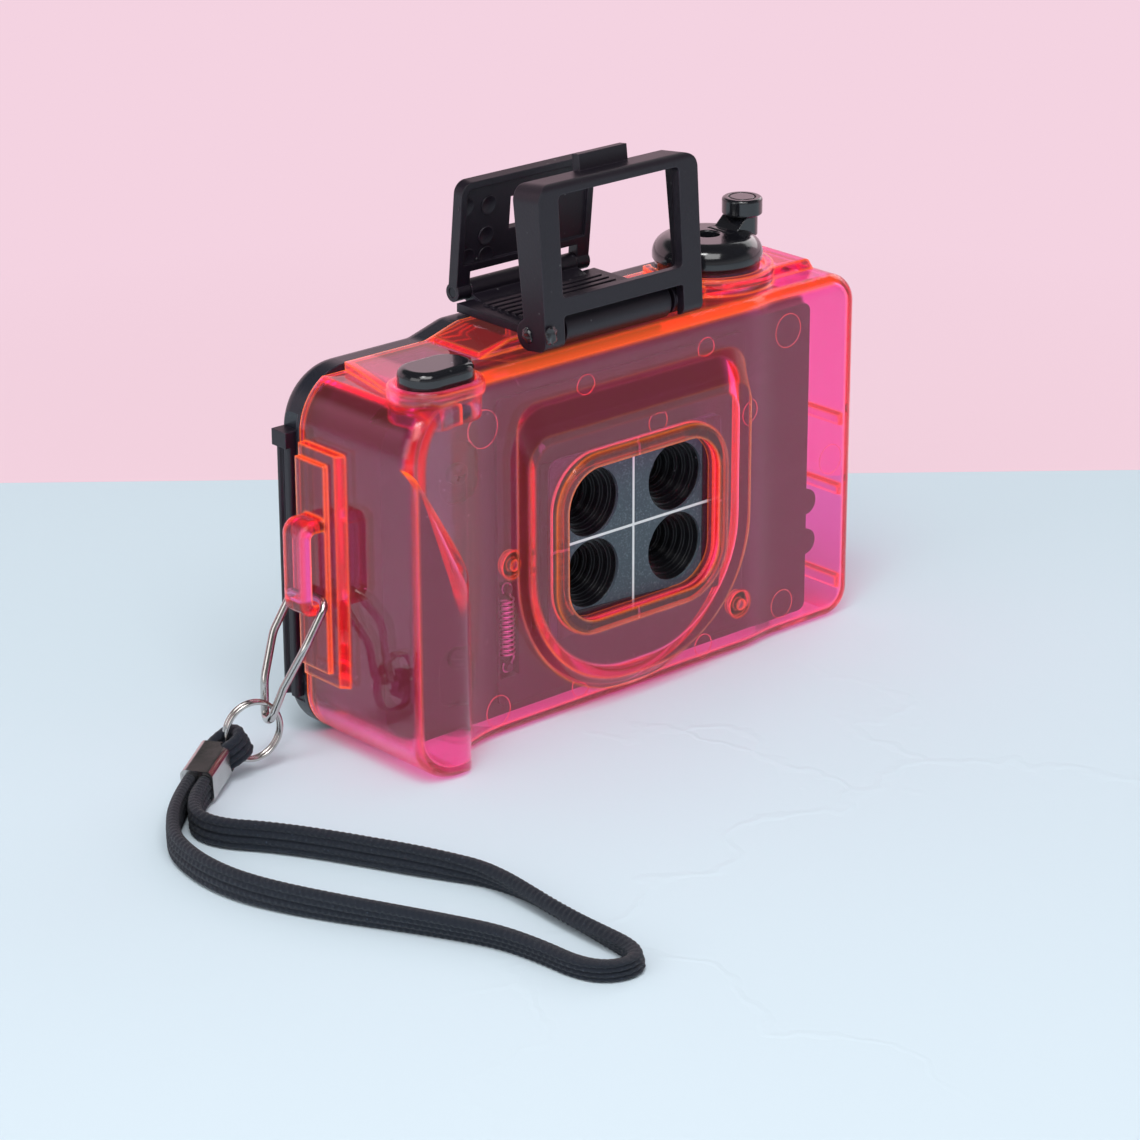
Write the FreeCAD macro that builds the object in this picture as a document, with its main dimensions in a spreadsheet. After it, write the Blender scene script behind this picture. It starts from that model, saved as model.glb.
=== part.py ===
import FreeCAD, Part
import math
import os

import Sketcher
from FreeCAD import Rotation, Vector

# Four-lens toy film camera, in millimetres.
# The pieces are placed from the lens centre on the card: +X is the hollow end, -Y the front, +Z up.
# The frame's origin is at the bottom centre of the camera.

SIZES = {
    # Clear shell, measured from the lens centre
    "lens_height": 29.0,
    "grip_side": 50.5,
    "hollow_side": 51.5,
    "deck_height": 31.3,
    "ledge_drop": 1.3,
    "ledge_back": 41.2,
    "ledge_front": 47.8,
    "shell_depth": 20.5,
    "shell_wall": 1.8,
    "grip_corner_round": 9.5,
    "grip_bottom_round": 8.0,
    "hollow_corner_round": 5.0,
    "front_round": 2.6,
    "recess_start": 27.0,
    "recess_ramp": 4.5,
    "recess_depth": 1.0,
    # Grip
    "grip_forward": 6.8,
    "sweep_end": 31.0,
    "swell_forward": 0.8,
    "swell_crest": 41.0,
    "swell_foot": 33.3,
    "swell_shoulder": 8.0,
    "swell_top": 24.0,
    "crest_round": 5.0,
    "crest_over": 0.19,
    # Raised deck behind the front edge, and the step up to the finder
    "plateau_rise": 1.9,
    "plateau_left": 19.0,
    "plateau_slope": 6.5,
    "plateau_right": 46.0,
    "plateau_front": 7.6,
    # Lens surround
    "shield_half": 24.3,
    "shield_top": 25.1,
    "shield_fall": 3.0,
    "shield_raise": 2.4,
    "shield_corner": 4.0,
    "shield_top_slope": 5.1,
    "shield_side_slope": 0.6,
    "shield_bottom_slope": 3.0,
    "window_half_width": 16.2,
    "window_half_height": 12.8,
    "window_corner": 6.5,
    "lip_width": 2.2,
    "lip_raise": 0.5,
    # Side pad and strap lug
    "pad_raise": 1.3,
    "pad_front": 9.4,
    "pad_slope": 2.9,
    "pad_back": 19.3,
    "pad_bottom": 17.0,
    "pad_top": 21.0,
    "lug_reach": 6.5,
    "lug_bar": 1.8,
    "lug_front": 12.4,
    "lug_width": 5.2,
    "lug_bottom": 5.0,
    "lug_top": 10.5,
    "lug_arm": 1.9,
    # Inner body
    "body_front": 3.8,
    "body_back": 22.0,
    "body_left": 47.3,
    "body_right": 42.0,
    "body_bottom": 26.5,
    "body_top": 27.6,
    "body_round": 6.0,
    "panel_raise": 0.6,
    "panel_half": 26.6,
    "frame_width": 36.0,
    "frame_height": 24.0,
    "light_box_front": 11.2,
    # Lens block
    "lens_pitch_x": 18.0,
    "lens_pitch_z": 12.0,
    "card_thick": 0.5,
    "card_half_width": 18.4,
    "card_half_height": 15.0,
    "line_width": 0.45,
    "line_depth": 0.25,
    "block_half_width": 17.6,
    "block_half_height": 13.4,
    "block_back": 8.8,
    "well_radius": 5.65,
    "well_steps": 5.0,
    "well_step_in": 0.66,
    "well_step_deep": 1.2,
    "lens_radius": 2.5,
    "lens_thick": 1.2,
    # Rotary shutter
    "shutter_radius": 14.6,
    "shutter_thick": 0.6,
    "shutter_gap": 0.5,
    "shutter_pin_radius": 1.2,
    "slot_angle": 34.0,
    "slot_half_width": 2.6,
    # Return spring
    "spring_x": 24.3,
    "spring_top": 6.4,
    "spring_bottom": 17.6,
    "spring_radius": 1.15,
    "spring_wire": 0.32,
    "spring_turns": 12.0,
    "spring_post_radius": 0.7,
    # Film chamber and rewind crank
    "crank_x": 30.3,
    "crank_y": 15.2,
    "cassette_radius": 12.6,
    "bay_radius": 10.7,
    "dome_radius": 9.1,
    "dome_height": 5.4,
    "dome_gap": 0.35,
    "rim_width": 1.4,
    "rim_raise": 0.9,
    "shaft_radius": 2.6,
    "fork_length": 9.0,
    "arm_width": 5.2,
    "arm_length": 10.2,
    "arm_rise": 1.9,
    "knob_radius": 3.35,
    "knob_height": 2.9,
    "knob_reach": 7.8,
    # Film advance
    "advance_x": 36.0,
    "advance_y": 16.8,
    "thumbwheel_radius": 10.0,
    "thumbwheel_bottom": 19.0,
    "thumbwheel_thick": 3.6,
    "thumbwheel_ridges": 36.0,
    "spool_radius": 4.4,
    "flange_radius": 6.6,
    "flange_thick": 1.2,
    "spindle_radius": 1.5,
    "sprocket_x": 23.4,
    "sprocket_y": 18.4,
    "sprocket_radius": 3.3,
    "sprocket_teeth": 8.0,
    "tooth_height": 0.8,
    "sprocket_row": 14.0,
    "running_gap": 0.06,
    # Shutter button
    "button_x": 38.4,
    "button_y": 2.3,
    "button_length": 12.6,
    "button_width": 8.4,
    "button_top": 3.5,
    "button_gap": 0.3,
    "catch_half": 3.6,
    "catch_reach": 0.9,
    "catch_thick": 0.8,
    "collar_width": 1.3,
    "collar_raise": 1.2,
    # Finder
    "finder_x": -1.4,
    "base_half_width": 14.6,
    "base_thick": 1.4,
    "base_back": 23.9,
    "base_ribs": 7.0,
    "rib_raise": 0.4,
    "nose_radius": 2.9,
    "nose_half_width": 11.0,
    "front_hinge_y": 4.6,
    "front_hinge_z": 34.3,
    "front_frame_half": 16.6,
    "front_frame_height": 23.4,
    "front_frame_depth": 6.1,
    "front_frame_foot_depth": 4.7,
    "front_frame_back": 0.7,
    "front_frame_bar": 4.0,
    "front_frame_sill": 5.4,
    "sill_height": 2.8,
    "top_bar": 1.9,
    "bezel_thick": 1.8,
    "skirt_thick": 1.5,
    "frame_round": 2.6,
    "knuckle_radius": 2.5,
    "knuckle_width": 4.4,
    "tab_width": 10.0,
    "tab_raise": 2.6,
    "front_lean": 7.0,
    "rear_hinge_y": 25.7,
    "rear_hinge_z": 35.8,
    "rear_frame_half": 14.0,
    "rear_frame_height": 18.4,
    "rear_frame_thick": 2.0,
    "eyepiece_width": 6.6,
    "eyepiece_height": 5.4,
    "eyepiece_bottom": 8.9,
    "rear_slot_top": 3.4,
    "rear_lean": 6.0,
    "barrel_half": 11.2,
    "barrel_radius": 1.6,
    "finder_pin_radius": 0.8,
    # Back door
    "door_back": 26.0,
    "door_wall": 1.6,
    "door_gap": 0.3,
    "door_round": 2.4,
    "door_rise": 1.6,
    "hinge_x": 47.6,
    "hinge_y": 23.2,
    "hinge_radius": 2.3,
    "hinge_pin_radius": 1.0,
    "hinge_top": 25.0,
    "hinge_bottom": 23.0,
    "hinge_knuckles": 5.0,
    "bulge_wall": 1.6,
    "bulge_half_height": 23.5,
    "plate_half_width": 17.0,
    "plate_half_height": 16.5,
    "plate_thick": 0.8,
    "latch_length": 44.0,
    "latch_width": 3.4,
    "latch_thick": 1.3,
    "latch_travel": 2.0,
    "foam_width": 1.6,
    # Wrist strap
    "strap_width": 4.8,
    "strap_thick": 2.0,
    "ring_radius": 4.6,
    "ring_wire": 1.1,
    "clip_wire": 1.3,
}

doc = FreeCAD.newDocument("FourLensCamera")
sheet = doc.addObject("Spreadsheet::Sheet", "Sizes")
for row, (alias, number) in enumerate(SIZES.items(), 1):
    sheet.set("A%d" % row, alias)
    sheet.set("B%d" % row, str(number))
    sheet.setAlias("B%d" % row, alias)
doc.recompute()


class Size:
    """A length worked out from the sheet: its number, and the text that binds a property to it."""

    def __init__(self, number, text):
        self.number = float(number)
        self.text = text

    def __add__(self, other):
        other = as_size(other)
        return Size(self.number + other.number, "(%s + %s)" % (self.text, other.text))

    def __sub__(self, other):
        other = as_size(other)
        return Size(self.number - other.number, "(%s - %s)" % (self.text, other.text))

    def __mul__(self, other):
        other = as_size(other)
        return Size(self.number * other.number, "(%s * %s)" % (self.text, other.text))

    def __truediv__(self, other):
        other = as_size(other)
        return Size(self.number / other.number, "(%s / %s)" % (self.text, other.text))

    def __radd__(self, other):
        return as_size(other) + self

    def __rsub__(self, other):
        return as_size(other) - self

    def __rmul__(self, other):
        return as_size(other) * self

    def __neg__(self):
        return Size(-self.number, "(0 - %s)" % self.text)


def as_size(value):
    if isinstance(value, Size):
        return value
    return Size(value, "(%.9g)" % value)


def num(value):
    return as_size(value).number


class Cells:
    """Each cell of the sheet, by its alias."""

    def __getattr__(self, alias):
        return Size(sheet.get(alias), "Sizes." + alias)


s = Cells()

# Where the lens centre on the card stands in the camera's own frame
left_reach = s.grip_side + s.lug_reach
bulge_radius = s.cassette_radius + 0.2 + s.bulge_wall
back_reach = s.crank_y + bulge_radius
front_reach = s.grip_forward + s.swell_forward
ORIGIN = ((left_reach - s.hollow_side) / 2, (front_reach - back_reach) / 2, s.lens_height)


def bind(obj, prop, size):
    obj.setExpression(prop, as_size(size).text)


def place(obj, spot, rotation=None):
    """Puts an object's own origin at a spot measured from the lens centre."""
    if rotation is not None:
        obj.Placement = FreeCAD.Placement(Vector(), rotation)
    for axis, start, value in zip("xyz", ORIGIN, spot):
        bind(obj, ".Placement.Base." + axis, start + value)


ALONG = {
    "X": Rotation(Vector(0, 1, 0), 90),
    "Y": Rotation(Vector(1, 0, 0), -90),
    "Z": Rotation(),
}
SKETCH_PLANE = {
    "X": Rotation(Vector(1, 1, 1), 120),
    "Y": Rotation(Vector(1, 0, 0), 90),
    "Z": Rotation(),
}
DIRECTION = {"X": Vector(1, 0, 0), "Y": Vector(0, 1, 0), "Z": Vector(0, 0, 1)}


def block(name, x, y, z):
    box = doc.addObject("Part::Box", name)
    for prop, (low, high) in zip(("Length", "Width", "Height"), (x, y, z)):
        bind(box, prop, as_size(high) - low)
    place(box, (x[0], y[0], z[0]))
    return box


def rod(name, axis, spot, radius, length):
    bar = doc.addObject("Part::Cylinder", name)
    bind(bar, "Radius", radius)
    bind(bar, "Height", length)
    place(bar, spot, ALONG[axis])
    return bar


def outline(name, axis, corners, spot=(0, 0, 0)):
    """A closed sketch square to an axis through corners (across, up, radius), round where it has a radius."""
    sketch = doc.addObject("Sketcher::SketchObject", name)
    place(sketch, spot, SKETCH_PLANE[axis])
    points = [Vector(num(c[0]), num(c[1]), 0) for c in corners]
    radii = [num(c[2]) if len(c) > 2 else 0.0 for c in corners]
    count = len(corners)
    into, out = [], []
    for i in range(count):
        before = (points[i - 1] - points[i]).normalize()
        after = (points[(i + 1) % count] - points[i]).normalize()
        back = 0.0
        if radii[i]:
            back = radii[i] / math.tan(before.getAngle(after) / 2)
        into.append(points[i] + before * back)
        out.append(points[i] + after * back)
    lines = [sketch.addGeometry(Part.LineSegment(out[i], into[(i + 1) % count]), False) for i in range(count)]
    for i in range(count):
        line_in = lines[i - 1]
        line_out = lines[i]
        if not radii[i]:
            sketch.addConstraint(Sketcher.Constraint("Coincident", line_in, 2, line_out, 1))
            spot_of = (line_out, 1)
        else:
            before = (points[i - 1] - points[i]).normalize()
            after = (points[(i + 1) % count] - points[i]).normalize()
            middle = (before + after).normalize()
            centre = points[i] + middle * (radii[i] / math.sin(before.getAngle(after) / 2))
            left_turn = before.cross(after).z < 0
            first, last = (into[i], out[i]) if left_turn else (out[i], into[i])
            start = math.atan2(first.y - centre.y, first.x - centre.x)
            end = math.atan2(last.y - centre.y, last.x - centre.x)
            circle = Part.Circle(centre, Vector(0, 0, 1), radii[i])
            arc = sketch.addGeometry(Part.ArcOfCircle(circle, start, end), False)
            near, far = (1, 2) if left_turn else (2, 1)
            sketch.addConstraint(Sketcher.Constraint("Tangent", line_in, 2, arc, near))
            sketch.addConstraint(Sketcher.Constraint("Tangent", arc, far, line_out, 1))
            round_of = sketch.addConstraint(Sketcher.Constraint("Radius", arc, radii[i]))
            bind(sketch, "Constraints[%d]" % round_of, corners[i][2])
            corner = sketch.addGeometry(Part.Point(points[i]), True)
            sketch.addConstraint(Sketcher.Constraint("PointOnObject", corner, 1, line_in))
            sketch.addConstraint(Sketcher.Constraint("PointOnObject", corner, 1, line_out))
            spot_of = (corner, 1)
        for kind, value, here in (("DistanceX", corners[i][0], points[i].x), ("DistanceY", corners[i][1], points[i].y)):
            tie = sketch.addConstraint(Sketcher.Constraint(kind, -1, 1, spot_of[0], spot_of[1], here))
            bind(sketch, "Constraints[%d]" % tie, value)
    return sketch


def prism(name, axis, corners, low, high):
    """A profile of corners, extruded along an axis from low to high."""
    spot = [as_size(0)] * 3
    spot["XYZ".index(axis)] = as_size(low)
    profile = outline(name + "_profile", axis, corners, spot)
    solid = doc.addObject("Part::Extrusion", name)
    solid.Base = profile
    solid.DirMode = "Custom"
    solid.Dir = DIRECTION[axis]
    solid.Solid = True
    bind(solid, "LengthFwd", as_size(high) - low)
    return solid


def turned(name, centre, corners):
    """A profile of corners (radius, height), turned about an upright axis."""
    profile = outline(name + "_profile", "Y", corners, centre)
    solid = doc.addObject("Part::Revolution", name)
    solid.Source = profile
    solid.Axis = Vector(0, 0, 1)
    solid.Solid = True
    for axis, start, value in zip("xyz", ORIGIN, centre):
        bind(solid, ".Base." + axis, start + value)
    return solid


def fuse(name, *pieces):
    whole = doc.addObject("Part::MultiFuse", name)
    whole.Shapes = list(pieces)
    whole.Refine = True
    return whole


def cut(name, base, *tools):
    """Takes the tools, fused where there are several, out of the base."""
    tool = tools[0] if len(tools) == 1 else fuse(name + "_tools", *tools)
    result = doc.addObject("Part::Cut", name)
    result.Base = base
    result.Tool = tool
    result.Refine = True
    return result


def common(name, *pieces):
    result = doc.addObject("Part::MultiCommon", name)
    result.Shapes = list(pieces)
    result.Refine = True
    return result


def rounded(name, base, radius, chosen):
    """Rounds those edges of the base that a test picks."""
    doc.recompute()
    result = doc.addObject("Part::Fillet", name)
    result.Base = base
    size = num(radius)
    result.Edges = [(i, size, size) for i, edge in enumerate(base.Shape.Edges, 1) if chosen(edge)]
    return result


def spot_of(edge):
    """The middle of an edge, measured from the lens centre."""
    middle = edge.valueAt((edge.FirstParameter + edge.LastParameter) / 2)
    return middle - Vector(*(num(value) for value in ORIGIN))


def runs_along(edge, direction):
    if not isinstance(edge.Curve, Part.Line):
        return False
    return abs(edge.Curve.Direction.dot(DIRECTION[direction])) > 0.999


NODES = {}


def node(name, obj):
    obj.Label = name
    NODES[name] = obj
    return obj


# Shell

def shell_form(name, inset, back):
    """The shell's outer form, or its hollow where it is inset by the wall."""
    left = -s.grip_side + inset
    right = s.hollow_side - inset
    top = s.deck_height - inset
    bottom = -s.lens_height + inset
    edge = [
        (left, bottom, s.grip_bottom_round - inset),
        (right, bottom, s.hollow_corner_round - inset),
        (right, top, s.hollow_corner_round - inset),
        (left, top, s.grip_corner_round - inset)]
    main = common(name + "_main", prism(name + "_front_view", "Y", edge, -front_reach - 1, back),
                  prism(name + "_plan", "Z", [
                      (left, back),
                      (left, -s.grip_forward + inset),
                      (-s.sweep_end, inset, 20),
                      (s.recess_start, inset, 20),
                      (s.recess_start + s.recess_ramp, inset + s.recess_depth, 20),
                      (right, inset + s.recess_depth),
                      (right, back)], bottom - 1, top + 1))
    swell_slab = prism(name + "_swell_slab", "Y", edge, -front_reach - s.crest_over + inset, inset + 1)
    swell_plan = prism(name + "_swell_plan", "Z", [
        (left, inset + 1),
        (left, -s.grip_forward + inset),
        (-s.swell_crest + inset, -front_reach - s.crest_over + inset, s.crest_round),
        (-s.swell_foot - inset, inset + 1)], bottom - 1, s.swell_top + 2)
    swell_view = prism(name + "_swell_view", "Y", [
        (left - 1, bottom - 1),
        (-s.swell_foot - inset, bottom - 1),
        (-s.swell_foot - inset, -s.swell_shoulder - inset, s.swell_shoulder),
        (left - 1, s.swell_top - inset)], -front_reach - 1, inset + 1)
    ledge = prism(name + "_ledge", "Z", [
        (left - 9, back + 1),
        (-s.ledge_back + inset, back + 1),
        (-s.ledge_front + inset, -front_reach - 1),
        (left - 9, -front_reach - 1)], top - s.ledge_drop, top + 2)
    if num(inset) > 0:
        return cut(name, fuse(name + "_blank", main, common(name + "_swell", swell_slab, swell_plan, swell_view)),
                   ledge)

    def on_main_rim(edge):
        spot = spot_of(edge)
        if spot.y > num(s.recess_depth) + 0.1 or runs_along(edge, "Y"):
            return False
        return not runs_along(edge, "Z") or abs(spot.x) > num(s.grip_side) - 5

    def on_slab_rim(edge):
        return spot_of(edge).y < -num(front_reach) + 0.1
    slab = rounded(name + "_slab_rim", swell_slab, s.front_round, on_slab_rim)
    swell = common(name + "_swell", slab, swell_plan, swell_view)

    main = rounded(name + "_rim", main, s.front_round, on_main_rim)
    return cut(name, fuse(name + "_blank", main, swell), ledge)


def shield_outline(name, y, grow, deep):
    """One section of the lens surround: flat top, straight sides and a round bottom."""
    half = s.shield_half + grow - s.shield_side_slope * y
    top = s.shield_top + grow - s.shield_top_slope * y
    round_bottom = s.shield_half + grow - s.shield_bottom_slope * y
    return outline(name, "Y", [
        (-half, top, s.shield_corner),
        (-half, -s.shield_fall - round_bottom, round_bottom - 0.05),
        (half, -s.shield_fall - round_bottom, round_bottom - 0.05),
        (half, top, s.shield_corner)], (0, deep - s.shield_raise * y, 0))


def shield(name, grow, deep):
    """The lens surround from its foot on the shell to its flat face."""
    foot = shield_outline(name + "_foot", 0, grow, deep)
    face = shield_outline(name + "_face", 1, grow, deep)
    raised = doc.addObject("Part::Loft", name + "_raised")
    raised.Sections = [foot, face]
    raised.Solid = True
    raised.Ruled = True
    return raised


def pill(name, centre_x, centre_y, length, width, low, high):
    """An upright bar with round ends, long across the camera."""
    length = as_size(length)
    width = as_size(width)
    end = width / 2 - 0.2
    return prism(name, "Z", [
        (centre_x - length / 2, centre_y - width / 2, end),
        (centre_x + length / 2, centre_y - width / 2, end),
        (centre_x + length / 2, centre_y + width / 2, end),
        (centre_x - length / 2, centre_y + width / 2, end)], low, high)


def rounded_window(name, half_width, half_height, corner, low, high):
    """A round-cornered window, centred on the lens centre and through the front wall."""
    return prism(name, "Y", [
        (-half_width, -half_height, corner),
        (half_width, -half_height, corner),
        (half_width, half_height, corner),
        (-half_width, half_height, corner)], low, high)


deck_top = s.deck_height
plateau_top = s.deck_height + s.plateau_rise
button_top = s.deck_height + s.button_top


def deck_step(name, grow, low, back):
    """The raised deck under the finder and the crank, sloping down to the left."""
    return prism(name, "Y", [
        (-s.plateau_left - s.plateau_slope - grow, low),
        (-s.plateau_left - s.plateau_slope - grow, deck_top),
        (-s.plateau_left - grow * 0.3, plateau_top + grow, 4),
        (s.plateau_right + grow * 0.8, plateau_top + grow, 1),
        (s.plateau_right + s.plateau_rise + grow, low)], s.plateau_front - grow, back)


crank_ring = rod("crank_ring", "Z", (s.crank_x, s.crank_y, deck_top - 1),
                 s.dome_radius + s.dome_gap + s.rim_width, s.plateau_rise + s.rim_raise + 1)
side_pad = prism("side_pad", "Z", [
    (-s.grip_side + 1, s.pad_front),
    (-s.grip_side, s.pad_front),
    (-s.grip_side - s.pad_raise, s.pad_front + s.pad_slope * 0.4),
    (-s.grip_side - s.pad_raise, s.pad_back),
    (-s.grip_side + 1, s.pad_back)], -s.pad_bottom, s.pad_top)
pad_fold = prism("pad_fold", "Z", [
    (-s.grip_side + 1, s.pad_front + s.pad_slope),
    (-s.grip_side - s.pad_raise - 0.7, s.pad_front + s.pad_slope),
    (-s.grip_side - s.pad_raise - 0.7, s.pad_back),
    (-s.grip_side + 1, s.pad_back)], -s.pad_bottom + 2, s.pad_top - 2)
lug_back = s.lug_front + s.lug_width
lug_blank = prism("lug_blank", "Y", [
    (-s.grip_side + 0.5, -s.lug_bottom),
    (-left_reach, -s.lug_bottom, 2.4),
    (-left_reach, s.lug_top, 2.4),
    (-s.grip_side + 0.5, s.lug_top)], s.lug_front, lug_back)


def on_lug_edge(edge):
    spot = spot_of(edge)
    return runs_along(edge, "Z") and spot.x < -num(left_reach) + 0.2


lug_rounded = rounded("lug_rounded", lug_blank, 0.9, on_lug_edge)
lug_opening = prism("lug_opening", "Y", [
    (-s.grip_side - s.pad_raise, -s.lug_bottom + s.lug_arm, 0.8),
    (-left_reach + s.lug_bar, -s.lug_bottom + s.lug_arm, 0.8),
    (-left_reach + s.lug_bar, s.lug_top - s.lug_arm, 0.8),
    (-s.grip_side - s.pad_raise, s.lug_top - s.lug_arm, 0.8)], s.lug_front - 1, lug_back + 1)
lug = cut("lug", lug_rounded, lug_opening)
collar = pill("collar", -s.button_x, s.button_y, s.button_length + (s.button_gap + s.collar_width) * 2,
              s.button_width + (s.button_gap + s.collar_width) * 2, deck_top - 1, deck_top + s.collar_raise / 2)
lip_half_width = s.window_half_width + s.lip_width
lip_half_height = s.window_half_height + s.lip_width
lip = rounded_window("lip", lip_half_width, lip_half_height, s.window_corner + s.lip_width,
                     -s.shield_raise - s.lip_raise, 0)


def on_lip_rim(edge):
    return spot_of(edge).y < -num(s.shield_raise + s.lip_raise) + 0.1


lip_rim = rounded("lip_rim", lip, 0.45, on_lip_rim)
shell_blank = fuse("shell_blank", shell_form("outer", as_size(0), s.shell_depth),
                   deck_step("deck_step", as_size(0), deck_top - 1, s.shell_depth),
                   crank_ring, side_pad, pad_fold, lug, collar, shield("shield", as_size(0), as_size(0)))
shell_hollow = fuse("shell_hollow", shell_form("hollow", s.shell_wall, s.shell_depth + 1),
                    deck_step("deck_hollow", -s.shell_wall, s.deck_height - s.shell_wall - 1, s.shell_depth + 1),
                    shield("shield_hollow", -s.shell_wall, s.shell_wall))
shell_walls = cut("shell_walls", shell_blank, shell_hollow)
boss_places = [(-24.4, -0.9), (24.9, -20.6)]
boss_radius = 2.2
boss_bore = 1.0
inside_parts = [lip_rim]
for index, (x, z) in enumerate(boss_places, 1):
    inside_parts.append(rod("boss_%d" % index, "Y", (x, 1, z), boss_radius, s.body_front - s.panel_raise - 1))
for index, (x, y) in enumerate([(-1, 12), (1, 12)], 1):
    inside_parts.append(block("deck_post_%d" % index, (s.finder_x + x * 9.5 - 1, s.finder_x + x * 9.5 + 1), (y, y + 5),
                              (s.body_top, plateau_top - s.shell_wall + 0.5)))
end_ribs = [(4.9, 6.5), (-7.4, -6.0), (-24.2, -22.3)]
for index, (low, high) in enumerate(end_ribs, 1):
    inside_parts.append(prism("end_rib_%d" % index, "Y", [
        (s.hollow_side - s.shell_wall - 1.1, low),
        (s.hollow_side - 1, low - 0.4),
        (s.hollow_side - 1, high + 0.4),
        (s.hollow_side - s.shell_wall - 1.1, high)], 3.2, 11.4))
shell_filled = fuse("shell_filled", shell_walls, *inside_parts)
crank_bore = rod("crank_bore", "Z", (s.crank_x, s.crank_y, plateau_top), s.dome_radius + s.dome_gap, 3)
crank_hole = rod("crank_hole", "Z", (s.crank_x, s.crank_y, s.deck_height - 4), s.shaft_radius + s.dome_gap, 8)
button_hole = pill("button_hole", -s.button_x, s.button_y, s.button_length + s.button_gap * 2,
                   s.button_width + s.button_gap * 2, s.deck_height - 5, s.deck_height + 5)
window = rounded_window("window", s.window_half_width, s.window_half_height, s.window_corner,
                        -s.shield_raise - 2, s.shell_wall + 1)
boss_holes = [rod("boss_hole_%d" % index, "Y", (x, 1.2, z), boss_bore, 4)
              for index, (x, z) in enumerate(boss_places, 1)]
behind_seam = block("behind_seam", (-70, 70), (s.shell_depth, s.shell_depth + 20), (-40, 50))
node("front_cover", cut("cover_cut", shell_filled, crank_bore, crank_hole, button_hole, window, behind_seam,
                        *boss_holes))

# Inner body

chassis_blank = prism("chassis_blank", "Y", [
    (-s.body_left, -s.body_bottom, s.body_round),
    (s.body_right, -s.body_bottom, 1.5),
    (s.body_right, s.body_top, 1.5),
    (-s.body_left, s.body_top, s.body_round)], s.body_front, s.body_back)
chassis_panel = prism("chassis_panel", "Y", [
    (-s.panel_half, -s.body_bottom + 1.5, 1.5),
    (s.panel_half, -s.body_bottom + 1.5, 1.5),
    (s.panel_half, s.body_top - 1.5, 1.5),
    (-s.panel_half, s.body_top - 1.5, 1.5)], s.body_front - s.panel_raise, s.body_front + 1)
chassis_added = [chassis_blank, chassis_panel]
for index, z in enumerate([-7.35, -14.45], 1):
    chassis_added.append(rod("side_bump_%d" % index, "Y", (s.body_right, s.body_front, z), 2.2, 5))
film_plane = s.body_back
for index, (low, high) in enumerate([(12.6, 13.8), (17.0, 18.2)], 1):
    for side, (z_low, z_high) in (("over", (low, high)), ("under", (-high, -low))):
        chassis_added.append(block("film_rail_%s_%d" % (side, index), (-26, 26),
                                   (film_plane - 1, film_plane + 0.3), (z_low, z_high)))
knuckle_pitch = (s.hinge_top + s.hinge_bottom) / s.hinge_knuckles
knuckle_gap = 0.2


def knuckle_span(index, gap=knuckle_gap):
    low = -s.hinge_bottom + knuckle_pitch * index + gap
    return low, low + knuckle_pitch - gap * 2


for index in (1, 3):
    low, high = knuckle_span(index)
    chassis_added.append(block("hinge_arm_%d" % index, (s.body_right - 1, s.hinge_x),
                               (s.hinge_y - s.hinge_radius, s.hinge_y - s.hinge_radius * 0.25), (low, high)))
    chassis_added.append(rod("hinge_knuckle_%d" % index, "Z", (s.hinge_x, s.hinge_y, low), s.hinge_radius,
                             high - low))
pocket_gap = 0.3
lens_opening = block("lens_opening", (-s.block_half_width - pocket_gap, s.block_half_width + pocket_gap),
                     (0, s.block_back + 0.6),
                     (-s.block_half_height - pocket_gap, s.block_half_height + pocket_gap))
shutter_front = s.block_back + 0.7
shutter_room = rod("shutter_room", "Y", (0, s.block_back + 0.4, 0), s.shutter_radius + s.shutter_gap, 1.4)
light_box = block("light_box", (-s.frame_width / 2, s.frame_width / 2), (s.light_box_front, s.body_back + 2),
                  (-s.frame_height / 2, s.frame_height / 2))
lens_spots = [(x, z) for z in (s.lens_pitch_z / 2, -s.lens_pitch_z / 2)
              for x in (-s.lens_pitch_x / 2, s.lens_pitch_x / 2)]
light_holes = [rod("light_hole_%d" % index, "Y", (x, s.light_box_front - 2, z), s.lens_radius + 0.8, 4)
               for index, (x, z) in enumerate(lens_spots, 1)]
pin_seat = rod("pin_seat", "Y", (0, s.light_box_front - 2, 0), s.shutter_pin_radius, 4)
take_up_room = block("take_up_room", (-s.advance_x - 8.5, -s.advance_x + 8.5), (8, s.body_back + 2), (-24, 18))
wheel_top = s.thumbwheel_bottom + s.thumbwheel_thick
wheel_room = rod("wheel_room", "Z", (-s.advance_x, s.advance_y, s.thumbwheel_bottom - pocket_gap),
                 s.thumbwheel_radius + 0.4, s.thumbwheel_thick + pocket_gap * 2)
spindle_hole = rod("spindle_hole", "Z", (-s.advance_x, s.advance_y, -25.2), s.spindle_radius + s.running_gap, 50.2)
sprocket_reach = s.sprocket_radius + s.tooth_height
sprocket_room = block("sprocket_room", (-s.sprocket_x - sprocket_reach - 0.5, -s.sprocket_x + sprocket_reach + 0.1),
                      (s.sprocket_y - sprocket_reach - 0.3, s.body_back + 2), (-17, 17))
sprocket_shaft = 1.2
sprocket_hole = rod("sprocket_hole", "Z", (-s.sprocket_x, s.sprocket_y, -19.2), sprocket_shaft + s.running_gap, 38.4)
bay = fuse("bay", rod("bay_round", "Z", (s.crank_x, s.crank_y, -24), s.bay_radius, 48),
           block("bay_mouth", (s.crank_x - s.bay_radius, s.crank_x + s.bay_radius),
                 (s.crank_y, s.body_back + 2), (-24, 24)))
fork_hole = rod("fork_hole", "Z", (s.crank_x, s.crank_y, 23), s.shaft_radius + s.dome_gap, 6)
spring_room = block("spring_room", (-s.spring_x - 2, -s.spring_x + 2), (1, s.body_front + 1.4),
                    (-s.spring_bottom - 2.6, -s.spring_top + 2.6))
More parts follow.
